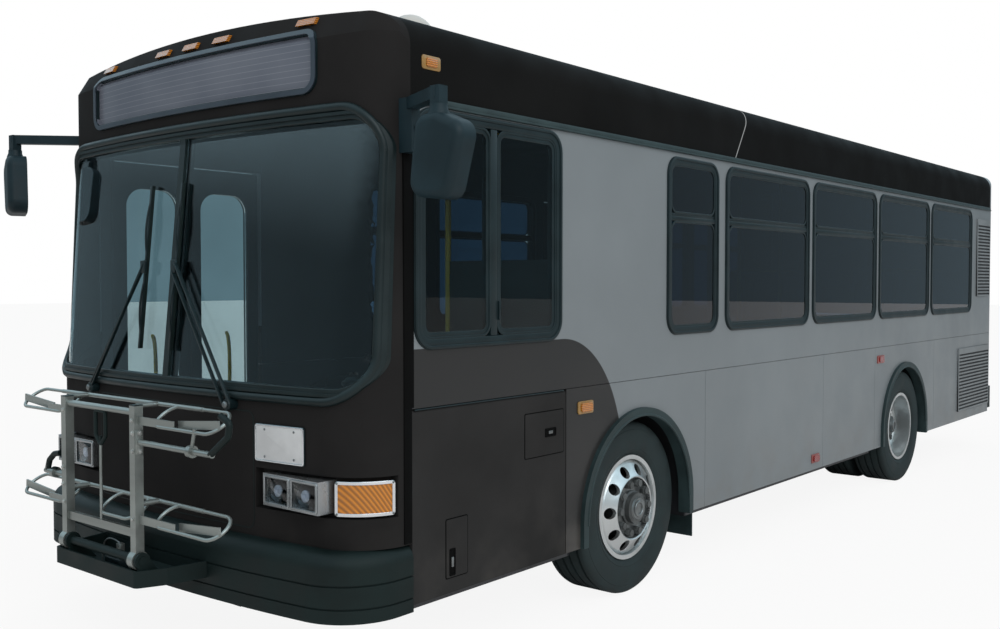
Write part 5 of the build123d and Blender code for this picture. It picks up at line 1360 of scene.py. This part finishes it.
# %% [markdown]
# The bike rack folds, so its details ride the rack: bolt heads with washers on the posts, plates where
# the arms leave them, and end caps. A bolt head is a hexagon turned in six steps. The latch in the tray
# stays with the bus.

# %% Bolts and plates on the bike rack
RACK_FACE_X = at(-0.731) - 0.0005
ARM_X = at(-0.710)
POST_Y = 0.300
CAP_HALF = 0.022
HEX = (
    (0.0004, 0.000), (0.013, 0.000), (0.013, 0.0015), (0.009, 0.0016),
    (0.009, 0.007), (0.007, 0.0085), (0.0004, 0.009),
)
plain("zinc", "zinc_bolt", (0.42, 0.43, 0.41), 0.38, 0.2, 30.0, 400.0, 0.0002, metal=0.7)


def bolt(finish, side, place):
    add(finish, turned_on(HEX, side, place, 6))


for face, side, arm_z in (("left", 1.0, 1.076), ("right", -1.0, 0.858)):
    post = side * POST_Y
    outer = side * (POST_Y + 0.0205)
    add("rack", plate(face, (ARM_X, outer, arm_z), (0.038, 0.110), 0.006, 0.006))
    for up in (-0.040, 0.040):
        bolt("zinc", face, (ARM_X, outer + side * 0.006, arm_z + up))
        bolt("zinc", "front", (RACK_FACE_X, side * (POST_Y + 0.006), arm_z + up))
    for z in (0.735, 1.172):
        bolt("zinc", "front", (RACK_FACE_X, post, z))
    cap = (at(-0.688), post - CAP_HALF, 1.2355)
    add("trim", block(cap, (at(-0.732), post + CAP_HALF, 1.2405), 0.002))
piece("rack_fittings", "bike_rack")
HOOP = (
    (at(-0.640), -0.120, 0.455), (at(-0.640), -0.125, 0.540),
    (at(-0.630), -0.060, 0.590), (at(-0.610), -0.005, 0.552),
)
add("trim", block((at(-0.560), -0.070, 0.452), (at(-0.660), 0.060, 0.498), 0.006))
add("rack", block((at(-0.600), -0.020, 0.495), (at(-0.630), 0.010, 0.560), 0.004))
add("steel", tube(HOOP, 0.004))
piece("rack_latch")

# %% [markdown]
# The mirrors need their glass: the flat rear face of each housing takes a bright second finish. The
# curb-side housing is turned, so the test measures along its own facing. A turned collar joins each
# housing to its arm, and two bolts hold each bracket to the mask.

# %% Mirror glass, collars and bracket bolts
MIRRORS = (("left", 0.160, 1.610, 0.0, 2.445), ("right", 0.320, -1.610, math.radians(20.0), 2.505))
ARM_Z = {"left": 2.532, "right": 2.606}
GLASS_DEPTH = 0.0525
COLLAR = (
    (0.0004, -0.012), (0.046, -0.012), (0.044, 0.004), (0.037, 0.022), (0.0365, 0.040), (0.0004, 0.041),
)
plain("mirror", "mirror_glass", (0.80, 0.84, 0.86), 0.03, 0.01, 3.0, 50.0, 0.0, metal=1.0)


def on_mirror_glass(p):
    """Flat rear face of a mirror housing."""
    for _, ahead, y, turn, top in MIRRORS:
        facing = Vector((-math.cos(turn), math.copysign(math.sin(turn), -y), 0.0))
        away = (Vector(p) - Vector((at(-ahead), y, p.z))).dot(facing)
        if abs(away - GLASS_DEPTH) < 0.0015 and p.z < top:
            return True
    return False


second_finish("mirrors", "mirror", on_mirror_glass)
for face, ahead, y, _, top in MIRRORS:
    collar = turned(COLLAR, ORIGIN, 32)
    upright = Matrix.Rotation(math.pi / 2.0, 4, "X")
    collar.data.transform(Matrix.Translation((at(-ahead), y, top)) @ upright)
    add("mirror_shell", collar)
    for drop in (0.172, 0.102):
        bolt("trim", face, (at(-0.034), math.copysign(1.3595, y), ARM_Z[face] - drop))
piece("mirror_fittings")

# %% [markdown]
# Inside, each double passenger seat is two moulded shells on a pedestal. A shell is a grid whose rows
# follow the seat's side view, from the front edge over the cushion and up the back; its edges are
# raised to make a dish and its far corners pulled in. A cloth insert lies in the dish.

# %% Passenger seats
SEAT_VIEW = (
    (0.000, -0.035), (-0.006, -0.008), (-0.040, 0.000), (-0.160, -0.004),
    (-0.280, -0.012), (-0.360, -0.008), (-0.405, 0.030), (-0.424, 0.110),
    (-0.436, 0.230), (-0.446, 0.360), (-0.456, 0.470), (-0.464, 0.548),
)
SHELL_WIDTH = 0.408
INSERT_WIDTH = SHELL_WIDTH - 0.070
SHELL_Y = 0.215
ACROSS = 9
DISH = 0.018
PULL_START = 0.80
PULL_MOST = 0.10
SEAT_BLOCKS = (
    ((-0.300, -0.405, -0.065), (-0.120, 0.405, -0.028), 0.008),
    ((-0.310, -0.090, -0.425), (-0.120, 0.090, -0.050), 0.020),
    ((-0.345, -0.135, -0.440), (-0.085, 0.135, -0.424), 0.006),
)
HAND_RAIL = ((-0.478, -0.36, 0.420), (-0.484, -0.36, 0.570), (-0.484, 0.36, 0.570), (-0.478, 0.36, 0.420))


def moulded(width, rows, lift, thick):
    """Dished sheet that follows the seat's side view."""
    clear()
    last = len(rows) - 1
    bpy.ops.mesh.primitive_grid_add(x_subdivisions=last, y_subdivisions=ACROSS - 1, size=2.0)
    made = started("moulded")
    for vertex in made.data.vertices:
        row = round((vertex.co.x + 1.0) / 2.0 * last)
        side = vertex.co.y
        share = row / last
        back, up = rows[row]
        dish = DISH * abs(side) ** 3
        pulled = 1.0 - PULL_MOST * max(share - PULL_START, 0.0) / (1.0 - PULL_START) * abs(side)
        height = up + dish * (1.0 - share) + lift
        vertex.co = (back + (dish + lift) * share, side * width / 2.0 * pulled, height)
    applied(made, "SOLIDIFY", thickness=thick, offset=-1.0)
    edit(made, bpy.ops.mesh.normals_make_consistent, inside=False)
    rounded(made, 0.004, 2, 50.0)
    return applied(made, "SUBSURF", levels=1, render_levels=1)


def seat_weave():
    """Blue cloth with a coarse and a fine weave."""
    made, tree, shader = new_finish("seat_weave", Roughness=0.85, Specular_IOR_Level=0.2)
    share = between(tree, grain(tree, 60.0, 4.0), 0.35, 0.65)
    tone = colours(tree, share, (0.016, 0.030, 0.060), (0.040, 0.062, 0.110))
    tree.links.new(tone, shader.inputs["Base Color"])
    bumps(tree, shader, grain(tree, 420.0, 2.0), 0.0006, 0.5)
    return made


finishes["seat_cloth"] = seat_weave()
for y in (-SHELL_Y, SHELL_Y):
    add("shell_plastic", moulded(SHELL_WIDTH, SEAT_VIEW, 0.0, 0.014))
    add("seat_cloth", moulded(INSERT_WIDTH, SEAT_VIEW[2:-1], 0.005, 0.006))
    for shape in kit[-2:]:
        shape.data.transform(Matrix.Translation((0.0, y, 0.0)))
for low, high, edge in SEAT_BLOCKS:
    add("steel", block(low, high, edge))
add("yellow", tube(HAND_RAIL, 0.012))
first = joined("first_seat", kit)
kit.clear()
print("double seat", len(first.data.polygons), "faces")

# %% [markdown]
# The seats stand in rows on both sides of the aisle: low ones between the axles, with room for the
# rear door on the curb side, and high ones over the engine. The first seat is drawn with its front edge
# at the origin and copied to every place.

# %% Rows of seats
ROW_PITCH = 0.740
AISLE_Y = 0.810
SEAT_ROWS = ((2.640, 3, 1.0, 0.835), (2.640, 2, -1.0, 0.835))
HIGH_ROWS = [(6.960 + ROW_PITCH * row, 1, side, 1.340) for row in range(2) for side in (1.0, -1.0)]
places = []
for station, count, side, z in (*SEAT_ROWS, *HIGH_ROWS):
    for row in range(count):
        places.append(Matrix.Translation((at(station + ROW_PITCH * row), side * AISLE_Y, z)))
kit.append(first)
kit.extend([copied(first, "seat_copy", place) for place in places[1:]])
first.data.transform(places[0])
piece("passenger_seat_set", "bus_body", ["passenger_seats"])

# %% [markdown]
# The driver sits on two stuffed cushions. Each starts as a box a little smaller than the finished
# cushion, is remeshed into a fine even skin and blown up by the cloth solver without gravity; how far a
# point may move is capped, so the sides stay flat where they rest.

# %% Driver's seat
CUSHIONS = (
    ("driver_cushion", (at(1.130), 0.425, 0.788), (at(0.728), 0.855, 0.866), 0.020),
    ("driver_back_cushion", (at(1.176), 0.430, 0.885), (at(1.098), 0.850, 1.385), 0.018),
)
VOXEL = 0.006
PRESSURE = 4.0
STEPS = 20


def stuffed(name, low, high, cap):
    """Box blown up into a cushion."""
    made = block(low, high, 0.030, 4, name)
    applied(made, "REMESH", mode="VOXEL", voxel_size=VOXEL)
    start = [vertex.co.copy() for vertex in made.data.vertices]
    hold(made)
    swell = made.modifiers.new("swell", "CLOTH")
    swell.settings.use_pressure = True
    swell.settings.uniform_pressure_force = PRESSURE
    swell.settings.effector_weights.gravity = 0.0
    swell.settings.quality = 4
    for step in range(1, STEPS + 1):
        scene.frame_set(step)
    bpy.ops.object.modifier_apply(modifier=swell.name)
    scene.frame_set(1)
    for vertex, place in zip(made.data.vertices, start):
        move = vertex.co - place
        if move.length > cap:
            vertex.co = place + move.normalized() * cap
    applied(made, "SUBSURF", levels=1, render_levels=1)
    bpy.ops.object.shade_smooth()
    return made


for name, low, high, cap in CUSHIONS:
    pad = painted(stuffed(name, low, high, cap), "seat_cloth")
    dress(pad)

# %% [markdown]
# Under the cushions are a pan and a back shell, on rubber bellows over a foot. The folds of the
# bellows are soft-edged boxes, every second one a little narrower.

# %% Frame of the driver's seat
FOLD_STEP = 0.055
FOLD_IN = 0.012
add("dash", block((at(1.150), 0.415, 0.752), (at(0.735), 0.865, 0.792), 0.012))
add("dash", block((at(1.194), 0.418, 0.792), (at(1.172), 0.862, 1.392), 0.010))
for count in range(5):
    low_z = 0.480 + count * FOLD_STEP
    narrow = FOLD_IN * (count % 2)
    corner = (at(1.060) + narrow, 0.520 + narrow, low_z)
    add("rubber", block(corner, (at(0.810) - narrow, 0.760 - narrow, low_z + 0.056), 0.012))
add("dash", block((at(1.070), 0.505, 0.395), (at(0.800), 0.775, 0.482), 0.010))
piece("driver_seat_frame", "bus_body", ["driver_seat"])

# %% [markdown]
# The dashboard gets two dials and a row of switches on its sloping face. A dial is a turned rim with
# a sunken face, laid over to the slope by two rotations.

# %% Dials and switches
QUARTER = math.pi / 2.0
SLOPE = math.atan2(0.210, 0.170)
LEAN = Matrix.Rotation(SLOPE - QUARTER, 4, "Y") @ Matrix.Rotation(QUARTER, 4, "X")
DIAL = (
    (0.0004, 0.000), (0.058, 0.000), (0.060, 0.006), (0.056, 0.012),
    (0.050, 0.012), (0.048, 0.004), (0.0004, 0.004),
)
for y in (0.520, 0.690):
    dial = turned(DIAL, ORIGIN, 40)
    dial.data.transform(Matrix.Translation((at(0.236), y, 1.086)) @ LEAN)
    add("trim", dial)
for count in range(6):
    y = 0.240 + 0.036 * count
    add("pale", block((at(0.250), y, 1.066), (at(0.226), y + 0.024, 1.110), 0.003))
piece("dash_fittings")

# %% [markdown]
# At the back, each round lamp sits in a dark rim. The engine flap carries louvres in two groups, a
# lift handle and a bare plate; all of these ride the flap, so that they open with it. The flap's own
# box gives the place of its face.

# %% Tail lamp rims and engine flap fittings
LAMP_RIM = (
    (0.0525, 0.000), (0.066, 0.000), (0.064, 0.010), (0.060, 0.013), (0.055, 0.013), (0.0525, 0.010),
)
tail_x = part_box("tail_cap")[0][0]
for z in (1.010, 1.150, 1.290, 1.430, 2.780):
    for y in (-1.120, 1.120):
        add("trim", turned_on(LAMP_RIM, "rear", (tail_x + 0.001, y, z)))
piece("tail_lamp_rims")
flap_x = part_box("engine_door")[0][0]
slat_x = flap_x - 0.005
LOUVRE_Z = 1.130
SLAT_HALF = 0.302
for y in (-0.450, 0.450):
    add("trim", plate("rear", (flap_x, y, LOUVRE_Z), (0.640, 0.360), 0.020, 0.006, 0.002, 0.020))
    # Painted shade: a near-black plate behind the slats darkens the openings between them.
    add("gap", plate("rear", (flap_x, y, LOUVRE_Z), (0.610, 0.330), 0.010, 0.0015))
    for count in range(9):
        z = 0.994 + 0.034 * count
        add("grille", bar((slat_x, y - SLAT_HALF, z), (slat_x, y + SLAT_HALF, z), 0.022, 0.008))
GRIP_Z = 0.770
GRIP = ((0.002, -0.110), (-0.024, -0.105), (-0.024, 0.105), (0.002, 0.110))
add("trim", tube([(flap_x + out, y, GRIP_Z) for out, y in GRIP], 0.008))
REAR_PLATE = (-0.620, 0.810)
add("plate_white", plate("rear", (flap_x, *REAR_PLATE), (0.300, 0.152), 0.010, 0.004, 0.001))
add("chrome", plate("rear", (flap_x - 0.003, *REAR_PLATE), (0.304, 0.156), 0.012, 0.003, 0.001, 0.007))
piece("engine_flap_fittings", "engine_flap")

# %% [markdown]
# The doors on the curb side close on soft rubber edges, and each leaf has a grab bar on its inner side.
# The pieces are placed from each leaf's own box and ride that leaf.

# %% Door edges and grab bars
GRAB = ((0.0, 1.000), (0.034, 1.010), (0.034, 1.440), (0.0, 1.450))


def leaf_fittings(low, high):
    for x in (low[0] + 0.010, high[0] - 0.010):
        corner = (x - 0.008, low[1] - 0.004, low[2] + 0.020)
        add("rubber", block(corner, (x + 0.008, low[1] + 0.010, high[2] - 0.020), 0.004))
    middle = (low[0] + high[0]) / 2.0
    inside = high[1] - 0.004
    add("yellow", tube([(middle, inside + out, z) for out, z in GRAB], 0.012))


for door in ("front_door_", "rear_door_"):
    for leaf in ("a", "b"):
        node = door + "leaf_" + leaf
        leaf_fittings(*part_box(node))
        piece(node + "_fittings", door + leaf)

# %% [markdown]
# Two low escape hatches lie on the crown of the roof. Each is a rubber rim, a rounded lid and a raised
# middle, three soft-edged plates stacked and joined. They sit a little sunk, because the roof is bowed.

# %% Roof hatches
HATCH_Z = 2.984
CROWN_Z = HATCH_Z + 0.020
for count, station in enumerate((2.600, 6.600)):
    x = at(station)
    add("rubber", plate("up", (x, 0.0, HATCH_Z), (0.700, 0.640), 0.060, 0.014, 0.004, 0.040))
    add("trim", plate("up", (x, 0.0, HATCH_Z), (0.640, 0.580), 0.050, 0.022, 0.008))
    add("trim", plate("up", (x, 0.0, CROWN_Z), (0.500, 0.440), 0.060, 0.008, 0.004))
    piece("roof_hatch_" + str(count + 1))
